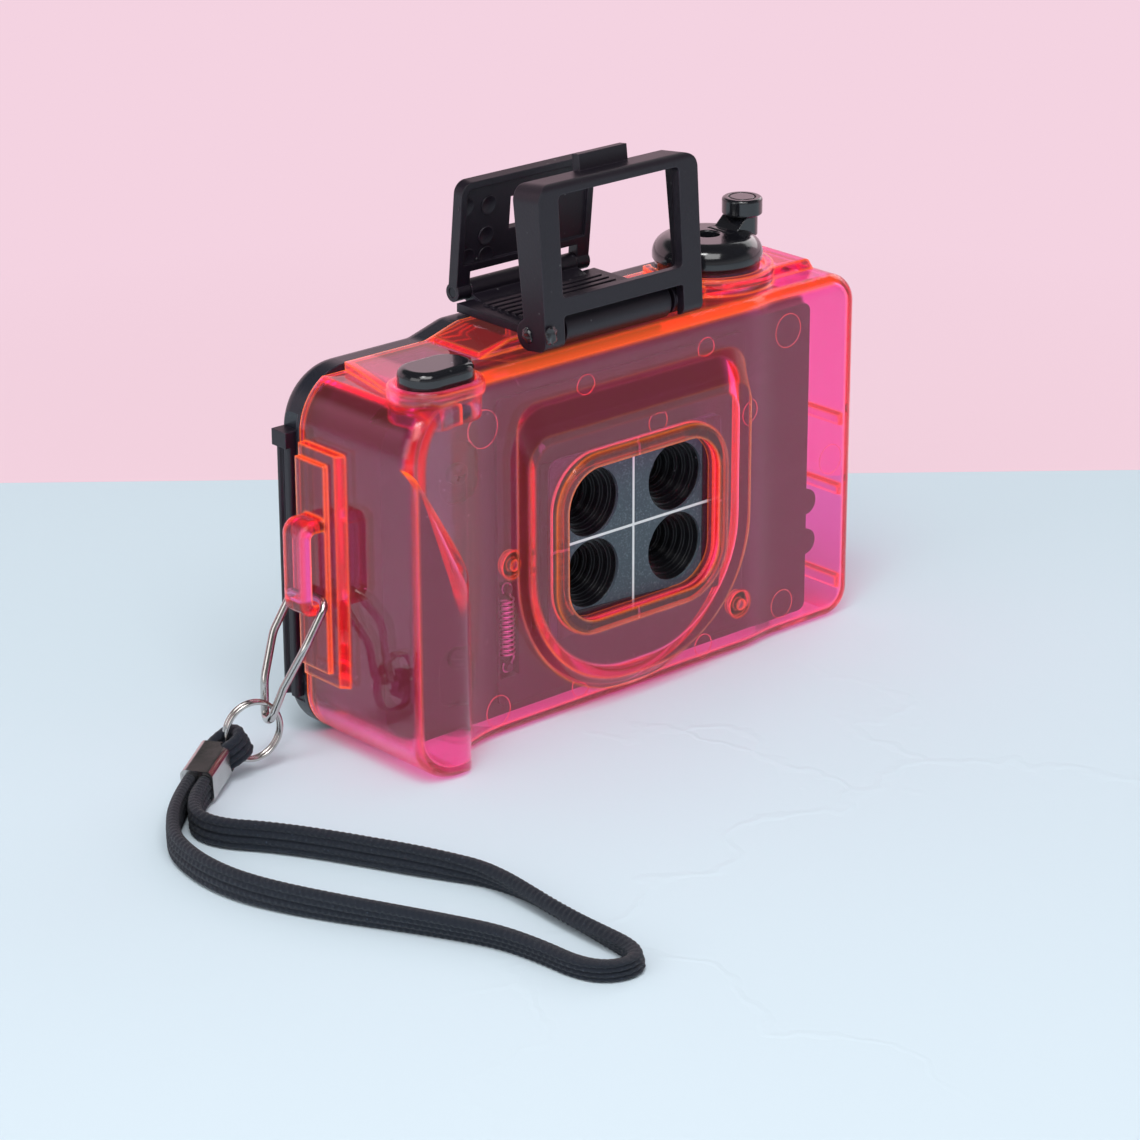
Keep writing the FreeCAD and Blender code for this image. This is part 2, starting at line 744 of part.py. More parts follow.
button_room = block("button_room", (-s.button_x - 7.6, -s.button_x + 7.8), (s.body_front - 1, s.body_front + 4.4),
                    (25.4, s.body_top + 1))
screw_recesses = []
for index, (x, z) in enumerate([(-33.6, 16), (-34.6, -17.4)], 1):
    screw_recesses.append(prism("screw_recess_%d" % index, "Y", [
        (x - 3.4, z - 5, 3.2),
        (x + 3.4, z - 5, 3.2),
        (x + 3.4, z + 5, 3.2),
        (x - 3.4, z + 5, 3.2)], s.body_front - 1, s.body_front + 0.8))
hinge_hole = rod("hinge_hole", "Z", (s.hinge_x, s.hinge_y, -s.hinge_bottom - 1), s.hinge_pin_radius, 60)
chassis_open = cut("chassis_open", fuse("chassis_whole", *chassis_added), lens_opening, shutter_room, light_box,
                   pin_seat, take_up_room, wheel_room, spindle_hole, sprocket_room, sprocket_hole, bay, fork_hole,
                   spring_room, button_room, hinge_hole, *(light_holes + screw_recesses))
spring_y = s.body_front
spring_posts = [rod("spring_post_%d" % index, "Y", (-s.spring_x, spring_y - 0.8, z), s.spring_post_radius, 3)
                for index, z in enumerate([-s.spring_top + 1.0, -s.spring_bottom - 1.0], 1)]
node("inner_body", fuse("chassis_posts", chassis_open, *spring_posts))

divider_half = 0.5
divider_back = s.body_back - 1
node("light_divider", fuse(
    "divider",
    block("divider_upright", (-divider_half, divider_half), (s.light_box_front, divider_back),
          (-s.frame_height / 2, s.frame_height / 2)),
    block("divider_level", (-s.frame_width / 2, s.frame_width / 2), (s.light_box_front, divider_back),
          (-divider_half, divider_half))))

# Lens unit

card_blank = rounded_window("card_blank", s.card_half_width, s.card_half_height, 2.0, 0, s.card_thick)
card_holes = [rod("card_hole_%d" % index, "Y", (x, -1, z), s.well_radius + 0.1, 3)
              for index, (x, z) in enumerate(lens_spots, 1)]


def cross_lines(name, low, high):
    return fuse(name,
                block(name + "_upright", (-s.line_width / 2, s.line_width / 2), (low, high),
                      (-s.card_half_height + 0.2, s.card_half_height - 0.2)),
                block(name + "_level", (-s.card_half_width + 0.2, s.card_half_width - 0.2), (low, high),
                      (-s.line_width / 2, s.line_width / 2)))


node("lens_card", cut("card", card_blank, cross_lines("line_groove", -0.5, s.line_depth), *card_holes))
node("card_lines", cross_lines("lines", as_size(0), s.line_depth))

block_front = s.card_thick
baffle_blank = prism("baffle_blank", "Y", [
    (-s.block_half_width, -s.block_half_height, 1.5),
    (s.block_half_width, -s.block_half_height, 1.5),
    (s.block_half_width, s.block_half_height, 1.5),
    (-s.block_half_width, s.block_half_height, 1.5)], block_front, s.block_back)
baffle_cuts = []
lens_front = block_front + s.well_steps * s.well_step_deep + 0.7
for index, (x, z) in enumerate(lens_spots, 1):
    for step in range(int(num(s.well_steps))):
        baffle_cuts.append(rod("well_%d_%d" % (index, step), "Y", (x, block_front - 1, z),
                               s.well_radius - s.well_step_in * step, s.well_step_deep * (step + 1) + 1))
    baffle_cuts.append(rod("well_throat_%d" % index, "Y", (x, block_front, z),
                           s.well_radius - s.well_step_in * s.well_steps, 10))
    baffle_cuts.append(rod("lens_seat_%d" % index, "Y", (x, lens_front, z), s.lens_radius + 0.02, 5))
node("baffle_block", cut("baffle", baffle_blank, *baffle_cuts))


def ball(name, spot, radius):
    sphere = doc.addObject("Part::Sphere", name)
    bind(sphere, "Radius", radius)
    place(sphere, spot)
    return sphere


lens_curve = 8.0
for index, (x, z) in enumerate(lens_spots, 1):
    middle = lens_front + s.lens_thick / 2
    node("lens_%d" % index, common(
        "lens_form_%d" % index,
        rod("lens_rod_%d" % index, "Y", (x, lens_front - 1, z), s.lens_radius, 4),
        ball("lens_face_%d" % index, (x, middle - s.lens_thick / 2 + lens_curve, z), lens_curve),
        ball("lens_rear_%d" % index, (x, middle + s.lens_thick / 2 - lens_curve, z), lens_curve)))

disc = rod("shutter_plate", "Y", (0, shutter_front, 0), s.shutter_radius, s.shutter_thick)
slot_radius = (s.lens_pitch_x * s.lens_pitch_x + s.lens_pitch_z * s.lens_pitch_z).number ** 0.5 / 2
slot_ring = cut("slot_ring",
                rod("slot_outside", "Y", (0, shutter_front - 1, 0), s.slot_half_width + slot_radius, 4),
                rod("slot_inside", "Y", (0, shutter_front - 2, 0), -s.slot_half_width + slot_radius, 6))
slot_wedge = prism("slot_wedge", "Y", [
    (0, 0),
    (20, -20 * math.tan(math.radians(SIZES["slot_angle"] / 2))),
    (20, 20 * math.tan(math.radians(SIZES["slot_angle"] / 2)))], shutter_front - 1, shutter_front + 2)
node("shutter_disc", cut("disc_cut", disc, common("slot", slot_ring, slot_wedge),
                         rod("disc_bore", "Y", (0, shutter_front - 1, 0),
                             s.shutter_pin_radius + s.running_gap, 4)))
node("shutter_pin", rod("shutter_pin", "Y", (0, shutter_front - 0.5, 0), s.shutter_pin_radius,
                        s.light_box_front - shutter_front + 0.5))

# Shutter button

button_stem = pill("button_stem", -s.button_x, s.button_y, s.button_length, s.button_width,
                   s.deck_height - s.shell_wall - 0.5, button_top)


def on_button_rim(edge):
    return spot_of(edge).z > num(button_top) - 0.1


button_crown = rounded("button_crown", button_stem, 1.3, on_button_rim)
catch_top = s.deck_height - s.shell_wall - 0.15
node("shutter_button", fuse(
    "button", button_crown,
    block("button_catch", (-s.button_x - s.catch_half, -s.button_x + s.catch_half + 2),
          (s.button_y, s.button_y + s.button_width / 2 + s.catch_reach),
          (catch_top - s.catch_thick, catch_top))))

# Rewind crank

dome_base = plateau_top + 0.25
dome_top = dome_base + s.dome_height
dome = turned("dome", (s.crank_x, s.crank_y, dome_base), [
    (0, 0),
    (s.dome_radius - 0.45, 0, 0.2),
    (s.dome_radius - 0.45, 1.3, 0.2),
    (s.dome_radius, 1.6, 0.3),
    (s.dome_radius, s.dome_height, 3.1),
    (2.0, s.dome_height, 0.3),
    (2.0, s.dome_height - 1.6),
    (0, s.dome_height - 1.6)])
arm_root = 2.4
groove_deep = 1.5
groove_gap = 0.1
groove = block("arm_groove", (s.crank_x + arm_root, s.crank_x + s.dome_radius + 1),
               (s.crank_y - s.arm_width / 2 - groove_gap, s.crank_y + s.arm_width / 2 + groove_gap),
               (dome_top - groove_deep, dome_top + 1))
arm_pin_x = s.crank_x + arm_root + 0.85
arm_pin_z = dome_top - 0.7
arm_pin_bore = rod("arm_pin_bore", "Y", (arm_pin_x, s.crank_y - s.arm_width / 2 - 1, arm_pin_z), 0.35, s.arm_width + 2)
shaft = rod("crank_shaft", "Z", (s.crank_x, s.crank_y, 22), s.shaft_radius, dome_base - 22 + 1)
fork = block("crank_fork", (s.crank_x - 0.8, s.crank_x + 0.8), (s.crank_y - 2.3, s.crank_y + 2.3),
             (22 - s.fork_length, 22.5))
fork_collar = rod("fork_collar", "Z", (s.crank_x, s.crank_y, 20.6), 4.2, 1.6)
node("crank_hub", cut("hub_cut", fuse("hub", dome, shaft, fork, fork_collar), groove, arm_pin_bore))

arm_tip = s.crank_x + s.arm_length
arm_low = s.crank_y - s.arm_width / 2
arm_high = s.crank_y + s.arm_width / 2
arm_top = dome_top + s.arm_rise
arm_form = prism("arm_form", "Y", [
    (arm_pin_x - 0.7, arm_pin_z - 0.7, 0.65),
    (arm_tip, arm_pin_z - 0.7, 0.4),
    (arm_tip, arm_top - 0.5, 0.3),
    (arm_tip - 0.3, arm_top),
    (arm_pin_x + 3.0, arm_top, 0.6),
    (arm_pin_x + 0.9, dome_top, 0.6),
    (arm_pin_x - 0.7, arm_pin_z + 0.7, 0.65)], arm_low, arm_high)
knob_x = s.crank_x + s.knob_reach
knob_stub = 0.9
arm_round = rod("arm_round", "Z", (knob_x, s.crank_y, dome_top - 3), s.arm_width / 2, 8)
arm_straight = block("arm_straight", (s.crank_x, knob_x), (arm_low, arm_high), (dome_top - 3, dome_top + 5))
node("crank_arm", cut(
    "arm_cut", common("arm_rounded", arm_form, fuse("arm_plan", arm_round, arm_straight)),
    rod("knob_seat", "Z", (knob_x, s.crank_y, dome_top), knob_stub + s.running_gap, 5),
    rod("arm_bore", "Y", (arm_pin_x, arm_low - 1, arm_pin_z), 0.35, s.arm_width + 2)))
node("crank_pin", rod("arm_pin", "Y", (arm_pin_x, arm_low - 0.05, arm_pin_z), 0.3, s.arm_width + 0.1))
node("crank_knob", turned("knob", (knob_x, s.crank_y, arm_top + 0.06), [
    (0, -1.6),
    (knob_stub, -1.6),
    (knob_stub, 0),
    (s.knob_radius, 0, 0.35),
    (s.knob_radius, s.knob_height, 0.5),
    (s.knob_radius * 0.68, s.knob_height, 0.1),
    (s.knob_radius * 0.68, s.knob_height - 0.35),
    (s.knob_radius * 0.6, s.knob_height - 0.35),
    (s.knob_radius * 0.6, s.knob_height, 0.1),
    (0, s.knob_height)]))

# Film advance

ridge_count = int(SIZES["thumbwheel_ridges"])
wheel_corners = []
for index in range(ridge_count * 2):
    turn = math.pi * (index + 0.25 * (-1) ** index) / ridge_count
    reach = s.thumbwheel_radius - (0.5 if index % 2 else 0)
    wheel_corners.append((reach * math.cos(turn) - s.advance_x, reach * math.sin(turn) + s.advance_y))
wheel_rim = prism("wheel_rim", "Z", wheel_corners, s.thumbwheel_bottom, wheel_top)
node("thumbwheel", cut(
    "wheel", wheel_rim,
    rod("wheel_bore", "Z", (-s.advance_x, s.advance_y, 15), s.spindle_radius, 10),
    rod("wheel_dish", "Z", (-s.advance_x, s.advance_y, wheel_top - 0.8), s.thumbwheel_radius - 2.4, 3)))
node("advance_spindle", rod("spindle", "Z", (-s.advance_x, s.advance_y, -25), s.spindle_radius, 49.8))
spool_low = -23.4
spool_high = 17.4
spool_turned = turned("spool_turned", (-s.advance_x, s.advance_y, 0), [
    (s.spindle_radius, spool_low),
    (s.flange_radius, spool_low, 0.3),
    (s.flange_radius, s.flange_thick + spool_low, 0.3),
    (s.spool_radius, s.flange_thick + spool_low),
    (s.spool_radius, spool_high - s.flange_thick),
    (s.flange_radius, spool_high - s.flange_thick, 0.3),
    (s.flange_radius, spool_high, 0.3),
    (s.spindle_radius, spool_high)])
spool_slots = []
for index, (low, high) in enumerate([(-16, -10), (-3, 3), (10, 13.5)], 1):
    spool_slots.append(block("spool_slot_%d" % index, (-s.advance_x - 6, -s.advance_x + 6),
                             (s.advance_y + 2.2, s.advance_y + 3.3), (low, high)))
node("take_up_spool", cut("spool", spool_turned, *spool_slots))


def bar_across(name, centre_x, centre_y, angle, length, width, low, high):
    """An upright bar centred on an axis and turned about it."""
    turn = math.radians(angle)
    corners = []
    for along, aside in ((-1, -1), (1, -1), (1, 1), (-1, 1)):
        u = as_size(length) * (along / 2)
        v = as_size(width) * (aside / 2)
        corners.append((u * math.cos(turn) - v * math.sin(turn) + centre_x,
                        u * math.sin(turn) + v * math.cos(turn) + centre_y))
    return prism(name, "Z", corners, low, high)


sprocket_parts = [
    rod("sprocket_core", "Z", (-s.sprocket_x, s.sprocket_y, -16), s.sprocket_radius, 32),
    rod("sprocket_shaft", "Z", (-s.sprocket_x, s.sprocket_y, -18.6), sprocket_shaft, 37.2)]
for row, z in enumerate((-s.sprocket_row, s.sprocket_row), 1):
    for index in range(int(SIZES["sprocket_teeth"]) // 2):
        sprocket_parts.append(bar_across(
            "teeth_%d_%d" % (row, index), -s.sprocket_x, s.sprocket_y,
            360 / SIZES["sprocket_teeth"] * index, sprocket_reach * 2, 1.1, z - 0.7, z + 0.7))
node("sprocket", fuse("sprocket_form", *sprocket_parts))

# Finder


def tilt(obj, pivot_y, pivot_z, angle):
    """Leans an object about an axis along X; a positive angle leans its top forward."""
    pivot = (ORIGIN[1] + pivot_y, ORIGIN[2] + pivot_z)
    angle = as_size(angle)
    obj.Placement = FreeCAD.Placement(Vector(), Rotation(Vector(1, 0, 0), angle.number))
    turn = math.radians(angle.number)
    cosine = Size(math.cos(turn), "cos(%s)" % angle.text)
    sine = Size(math.sin(turn), "sin(%s)" % angle.text)
    bind(obj, ".Placement.Rotation.Angle", angle)
    bind(obj, ".Placement.Base.y", pivot[0] - pivot[0] * cosine + pivot[1] * sine)
    bind(obj, ".Placement.Base.z", pivot[1] - pivot[0] * sine - pivot[1] * cosine)


base_low = plateau_top
base_high = plateau_top + s.base_thick
finder_left = s.finder_x - s.base_half_width
finder_right = s.finder_x + s.base_half_width
base_parts = [
    block("base_plate", (finder_left, finder_right), (s.front_hinge_y + s.knuckle_radius + 1, s.base_back),
          (base_low, base_high)),
    block("base_neck", (s.finder_x - s.nose_half_width, s.finder_x + s.nose_half_width),
          (s.front_hinge_y, s.front_hinge_y + s.knuckle_radius + 2), (base_low, base_high)),
    rod("base_nose", "X", (s.finder_x - s.nose_half_width, s.front_hinge_y, s.front_hinge_z), s.nose_radius,
        s.nose_half_width * 2)]
rib_pitch = 1.7
for index in range(int(SIZES["base_ribs"])):
    low = s.front_hinge_y + 4.6 + rib_pitch * index
    base_parts.append(block("base_rib_%d" % index, (finder_left + 2.4, finder_right - 2.4), (low, low + 0.9),
                            (base_high - 0.1, base_high + s.rib_raise)))
barrel_left = s.finder_x - s.barrel_half
base_parts.append(rod("rear_barrel", "X", (barrel_left, s.rear_hinge_y, s.rear_hinge_z), s.barrel_radius,
                      s.barrel_half * 2))
base_parts.append(prism("barrel_web", "X", [
    (s.base_back - 2, base_low),
    (s.base_back + 0.6, base_low),
    (s.rear_hinge_y + s.barrel_radius * 0.6, s.rear_hinge_z - s.barrel_radius * 0.8),
    (s.rear_hinge_y, s.rear_hinge_z),
    (s.base_back - 2, base_high)], barrel_left, barrel_left + s.barrel_half * 2))
base_whole = fuse("base_whole", *base_parts)
node("finder_base", cut(
    "base_cut", base_whole,
    rod("front_pin_bore", "X", (s.finder_x - 20, s.front_hinge_y, s.front_hinge_z),
        s.finder_pin_radius + s.running_gap, 40),
    rod("rear_pin_bore", "X", (s.finder_x - 20, s.rear_hinge_y, s.rear_hinge_z), s.finder_pin_radius, 40),
    prism("nose_trim", "X", [
        (s.front_hinge_y - 4, base_low - 5),
        (s.front_hinge_y + 3, base_low - 5),
        (s.front_hinge_y + 3, deck_top),
        (s.front_hinge_y - 4, deck_top)], s.finder_x - 20, s.finder_x + 20)))

frame_left = s.finder_x - s.front_frame_half
frame_right = s.finder_x + s.front_frame_half
frame_top = s.front_hinge_z + s.front_frame_height
frame_rear = s.front_hinge_y + s.front_frame_back
frame_front_top = frame_rear - s.front_frame_depth
frame_front_foot = frame_rear - s.front_frame_foot_depth
frame_foot = s.front_hinge_z - s.knuckle_radius
frame_block = prism("frame_block", "X", [
    (frame_rear, frame_foot, 0.6),
    (frame_rear, frame_top, 0.4),
    (frame_front_top, frame_top, 1.0),
    (frame_front_foot, frame_foot, 1.6)], frame_left, frame_right)
frame_view = prism("frame_view", "Y", [
    (frame_left, frame_foot - 1),
    (frame_right, frame_foot - 1),
    (frame_right, frame_top, s.frame_round),
    (frame_left, frame_top, s.frame_round)], frame_front_top - 1, frame_rear + 1)
frame_hollow = prism("frame_hollow", "X", [
    (frame_rear + 1, frame_foot - 2),
    (frame_rear + 1, frame_top - s.skirt_thick),
    (frame_front_top + s.bezel_thick, frame_top - s.skirt_thick),
    (frame_front_foot + s.bezel_thick, frame_foot - 2)], frame_left + s.skirt_thick, frame_right - s.skirt_thick)
bar_top = s.front_hinge_z + s.front_frame_sill
frame_window = prism("frame_window", "Y", [
    (frame_left + s.front_frame_bar, bar_top, 0.8),
    (frame_right - s.front_frame_bar, bar_top, 0.8),
    (frame_right - s.front_frame_bar, frame_top - s.top_bar, 0.8),
    (frame_left + s.front_frame_bar, frame_top - s.top_bar, 0.8)], frame_front_top - 1, frame_rear)
frame_legs = prism("frame_legs", "Y", [
    (frame_left + s.front_frame_bar, frame_foot - 2),
    (frame_right - s.front_frame_bar, frame_foot - 2),
    (frame_right - s.front_frame_bar, bar_top - s.sill_height, 0.6),
    (frame_left + s.front_frame_bar, bar_top - s.sill_height, 0.6)], frame_front_top - 1, frame_rear)
front_open = cut("front_open", common("front_body", frame_block, frame_view), frame_hollow, frame_window, frame_legs)
front_parts = [front_open]
for side, start in (("left", frame_left), ("right", frame_right - s.knuckle_width)):
    front_parts.append(rod("front_knuckle_" + side, "X", (start, s.front_hinge_y, s.front_hinge_z),
                           s.knuckle_radius, s.knuckle_width))
front_parts.append(block("frame_tab", (s.finder_x + 1 - s.tab_width / 2, s.finder_x + 1 + s.tab_width / 2),
                         (frame_rear - 1.6, frame_rear), (frame_top - 1, frame_top + s.tab_raise)))
front_frame = cut("front_bored", fuse("front_fused", *front_parts),
                  rod("front_bore", "X", (frame_left - 1, s.front_hinge_y, s.front_hinge_z),
                      s.finder_pin_radius, s.front_frame_half * 2 + 2))
tilt(front_frame, s.front_hinge_y, s.front_hinge_z, -s.front_lean)
node("front_frame", front_frame)
node("front_frame_pin", rod("front_pin", "X", (frame_left + 0.3, s.front_hinge_y, s.front_hinge_z),
                            s.finder_pin_radius, s.front_frame_half * 2 - 0.6))

rear_low = s.rear_hinge_z + s.rear_slot_top
rear_top = s.rear_hinge_z + s.rear_frame_height
rear_front = s.rear_hinge_y - s.rear_frame_thick / 2
rear_back = rear_front + s.rear_frame_thick
rear_left = s.finder_x - s.rear_frame_half
rear_right = s.finder_x + s.rear_frame_half
rear_leg = s.rear_frame_half - s.barrel_half - 0.15
rear_plate = prism("rear_plate", "Y", [
    (rear_left, rear_low),
    (rear_right, rear_low),
    (rear_right, rear_top, 2.0),
    (rear_left, rear_top, 2.0)], rear_front, rear_back)
rear_rim = 1.2
rear_dish = prism("rear_dish", "Y", [
    (rear_left + rear_rim, rear_low + rear_rim),
    (rear_right - rear_rim, rear_low + rear_rim),
    (rear_right - rear_rim, rear_top - rear_rim, 1.2),
    (rear_left + rear_rim, rear_top - rear_rim, 1.2)], rear_front - 1, rear_front + 0.5)
eyepiece = block("eyepiece", (s.finder_x - s.eyepiece_width / 2, s.finder_x + s.eyepiece_width / 2),
                 (rear_front - 2, rear_back + 2),
                 (s.rear_hinge_z + s.eyepiece_bottom, s.rear_hinge_z + s.eyepiece_bottom + s.eyepiece_height))
rear_parts = [cut("rear_open", rear_plate, rear_dish, eyepiece)]
for side, low in (("left", rear_left), ("right", rear_right - rear_leg)):
    rear_parts.append(rod("rear_knuckle_" + side, "X", (low, s.rear_hinge_y, s.rear_hinge_z), s.barrel_radius - 0.1,
                          rear_leg))
    rear_parts.append(block("rear_leg_" + side, (low, low + rear_leg), (rear_front, rear_back),
                            (s.rear_hinge_z, rear_low + 0.5)))
rear_frame = cut("rear_bored", fuse("rear_fused", *rear_parts),
                 rod("rear_bore", "X", (s.finder_x - 20, s.rear_hinge_y, s.rear_hinge_z),
                     s.finder_pin_radius + s.running_gap, 40))
tilt(rear_frame, s.rear_hinge_y, s.rear_hinge_z, s.rear_lean)
node("rear_frame", rear_frame)
rear_pin_length = rear_leg + 4
for index, start in enumerate((rear_left + 0.1, rear_right - 0.1 - rear_pin_length), 1):
    node("rear_frame_pin_%d" % index, rod("rear_pin_%d" % index, "X", (start, s.rear_hinge_y, s.rear_hinge_z),
                                          s.finder_pin_radius, rear_pin_length))

# Back door

door_front = s.shell_depth + s.door_gap
door_right = s.hinge_x - s.hinge_radius - 0.5


def door_outline(name, inset, low, high):
    side_top = s.deck_height - 0.3 - inset
    raised_top = s.deck_height + s.door_rise - inset
    return prism(name, "Y", [
        (-s.grip_side + inset, -s.lens_height + inset, s.grip_bottom_round - inset),
        (door_right - inset, -s.lens_height + inset, 1.9 - inset),
        (door_right - inset, raised_top, 1.9 - inset),
        (-s.plateau_left - inset * 0.3, raised_top, 4),
        (-s.plateau_left - s.plateau_slope - inset * 0.3, side_top, 4),
        (-s.grip_side + inset, side_top, s.grip_corner_round - inset)], low, high)


def on_door_rim(edge):
    return spot_of(edge).y > num(s.door_back) - 0.1


def on_bulge_rim(edge):
    return not runs_along(edge, "Z")


door_blank = rounded("door_blank", door_outline("door_plate", as_size(0), door_front, s.door_back), s.door_round,
                     on_door_rim)
bulge = rounded("bulge", rod("bulge_round", "Z", (s.crank_x, s.crank_y, -s.bulge_half_height), bulge_radius,
                             s.bulge_half_height * 2), 2.2, on_bulge_rim)
bulge_hollow = rod("bulge_hollow", "Z", (s.crank_x, s.crank_y, -s.bulge_half_height + s.bulge_wall),
                   bulge_radius - s.bulge_wall, (s.bulge_half_height - s.bulge_wall) * 2)
door_ahead = block("door_ahead", (-70, 70), (-20, door_front), (-40, 50))
door_hollow = door_outline("door_hollow", s.door_wall, door_front - 1, s.door_back - s.door_wall)
hinge_parts = []
hinge_cuts = []
for index in (0, 2, 4):
    low, high = knuckle_span(index)
    hinge_parts.append(rod("door_knuckle_%d" % index, "Z", (s.hinge_x, s.hinge_y, low), s.hinge_radius, high - low))
    hinge_parts.append(block("door_web_%d" % index, (door_right - 1.4, s.hinge_x),
                             (s.hinge_y + 0.6, s.hinge_y + s.hinge_radius), (low, high)))
for index in (1, 3):
    low, high = knuckle_span(index, -0.1)
    hinge_cuts.append(block("door_cut_%d" % index, (door_right - 4, s.hinge_x + 3),
                            (door_front - 1, s.door_back - s.door_wall), (low, high)))
thumb_slot = block("thumb_slot", (-s.advance_x - 7.4, -s.advance_x + 7.4), (s.door_back - 3, s.door_back + 2),
                   (s.thumbwheel_bottom - 0.4, wheel_top + 0.4))
latch_y = (s.door_back + s.shell_depth) / 2
latch_slot = block("latch_slot", (-s.grip_side - 1, -s.grip_side + s.door_wall + 1),
                   (latch_y - 0.75, latch_y + 0.75), (-12, 10))
latch_track = block("latch_track", (-s.grip_side - 1, -s.grip_side + 0.5),
                    (latch_y - s.latch_width / 2 - 0.1, latch_y + s.latch_width / 2 + 0.1),
                    (-s.latch_length / 2 - 1.2, s.latch_length / 2 + s.latch_travel + 0.6))
door_shell = cut("door_shell", fuse("door_whole", door_blank, bulge, *hinge_parts), door_ahead, door_hollow,
                 bulge_hollow, thumb_slot, latch_slot, latch_track,
                 rod("door_bore", "Z", (s.hinge_x, s.hinge_y, -s.hinge_bottom - 1),
                     s.hinge_pin_radius + s.running_gap, 60), *hinge_cuts)
node("back_door", door_shell)
node("hinge_pin", rod("door_pin", "Z", (s.hinge_x, s.hinge_y, -s.hinge_bottom + 0.1), s.hinge_pin_radius,
                      s.hinge_top + s.hinge_bottom - 0.2))

plate_front = s.body_back + 0.55
plate_rear = plate_front + s.plate_thick
node("pressure_plate", rounded_window("pressure", s.plate_half_width, s.plate_half_height, 1.5, plate_front, plate_rear))
leaf_back = s.door_back - s.door_wall
leaf = 0.25
node("pressure_spring", prism("leaf_spring", "Z", [
    (-12, plate_rear),
    (-9, plate_rear, 1.5),
    (-3, leaf_back - leaf, 1.5),
    (3, leaf_back - leaf, 1.5),
    (9, plate_rear, 1.5),
    (12, plate_rear),
    (12, plate_rear + leaf),
    (9, plate_rear + leaf, 1.5),
    (3, leaf_back, 1.5),
    (-3, leaf_back, 1.5),
    (-9, plate_rear + leaf, 1.5),
    (-12, plate_rear + leaf)], -4, 4))
for side, low, high in (("left", -s.body_left + 0.1, -s.body_left + 0.1 + s.foam_width),
                        ("right", s.body_right - 0.9, s.body_right - 0.9 + s.foam_width)):
    node("seal_" + side, block("foam_" + side, (low, high),
                               (s.body_back + 0.85, s.door_back - s.door_wall), (-24, 18)))

latch_low = -s.latch_length / 2
latch_parts = [
    prism("latch_bar", "Z", [
        (-s.grip_side + 0.4, latch_y - s.latch_width / 2),
        (-s.grip_side - s.latch_thick, latch_y - s.latch_width / 2, 0.5),
        (-s.grip_side - s.latch_thick, latch_y - 0.4),
        (-s.grip_side - s.latch_thick + 0.5, latch_y - 0.1),
        (-s.grip_side - s.latch_thick + 0.5, latch_y + 0.6),
        (-s.grip_side - s.latch_thick, latch_y + 0.9),
        (-s.grip_side - s.latch_thick, latch_y + s.latch_width / 2, 0.5),
        (-s.grip_side + 0.4, latch_y + s.latch_width / 2)], latch_low, s.latch_length / 2),
    block("latch_head", (-s.grip_side - s.latch_thick - 0.7, -s.grip_side + 0.4),
          (latch_y - s.latch_width / 2, latch_y + s.latch_width / 2),
          (s.latch_length / 2 - 2.6, s.latch_length / 2)),
    block("latch_tongue", (-s.grip_side, -s.grip_side + s.door_wall + 0.3), (latch_y - 0.6, latch_y + 0.6),
          (-9, 7)),
    block("latch_keeper", (-s.grip_side + s.door_wall + 0.15, -s.grip_side + s.door_wall + 1.2),
          (latch_y - 1.3, latch_y + 1.1), (-9, 7))]
node("latch_bar", fuse("latch", *latch_parts))

# Return spring, one wire between its two posts


def sheet_spot(x, y, z):
    """A point in the frame, from one measured from the lens centre."""
    return Vector(num(ORIGIN[0] + x), num(ORIGIN[1] + y), num(ORIGIN[2] + z))


def arc_from(start, control, end):
    middle = (start + end) / 2
    rise = control - middle
    half = (end - start).Length / 2
    if rise.Length < 1e-6 * half:
        return Part.LineSegment(start, end).toShape()
    turn = math.atan2(rise.Length, half)
    return Part.Arc(start, middle + rise.normalize() * (half * math.tan(turn / 2)), end).toShape()


def biarc(start, start_way, end, end_way):
    """Two arcs that leave one point and reach another along given directions."""
    across = end - start
    ways = start_way + end_way
    bend = 2 * (1 - start_way.dot(end_way))
    if bend < 1e-9:
        reach = across.Length / 4
    else:
        reach = (-across.dot(ways) + math.sqrt(across.dot(ways) ** 2 + bend * across.dot(across))) / bend
    near = start + start_way * reach
    far = end - end_way * reach
    joint = (near + far) / 2
    return [arc_from(start, near, joint), arc_from(joint, far, end)]


def tube(name, edges, section):
    """A pipe of one closed section along joined edges."""
    wire = Part.Wire(edges)
    return wire.makePipeShell([section], True, False)


def ring_section(spot, way, radius):
    return Part.Wire([Part.Circle(spot, way, radius).toShape()])


def coil_stations():
    """Points and directions along the wire: the lower hook, the coil and the upper hook."""
    radius = num(s.spring_radius)
    turns = int(num(s.spring_turns))
    hook = num(s.spring_post_radius) + num(s.spring_wire) / 2 + 0.05
    low = num(-s.spring_bottom) + 0.8
    high = num(-s.spring_top) - 0.8
    rise = (high - low) / turns
    slope = rise / (2 * math.pi * radius)
    stations = []

    def hook_station(post, angle):
        turn = math.radians(angle)
        stations.append((sheet_spot(-s.spring_x + hook * math.cos(turn), spring_y, post + hook * math.sin(turn)),
                         Vector(-math.sin(turn), 0, math.cos(turn))))
    for angle in (135, 225, 315, 360):
        hook_station(-s.spring_bottom - 1.0, angle)
    for half in range(turns * 2 + 1):
        side = 1 if half % 2 == 0 else -1
        stations.append((sheet_spot(-s.spring_x + radius * side, spring_y, low + rise * half / 2),
                         Vector(0, side, slope).normalize()))
    for angle in (0, 45, 135, 225):
        hook_station(-s.spring_top + 1.0, angle)
    return stations


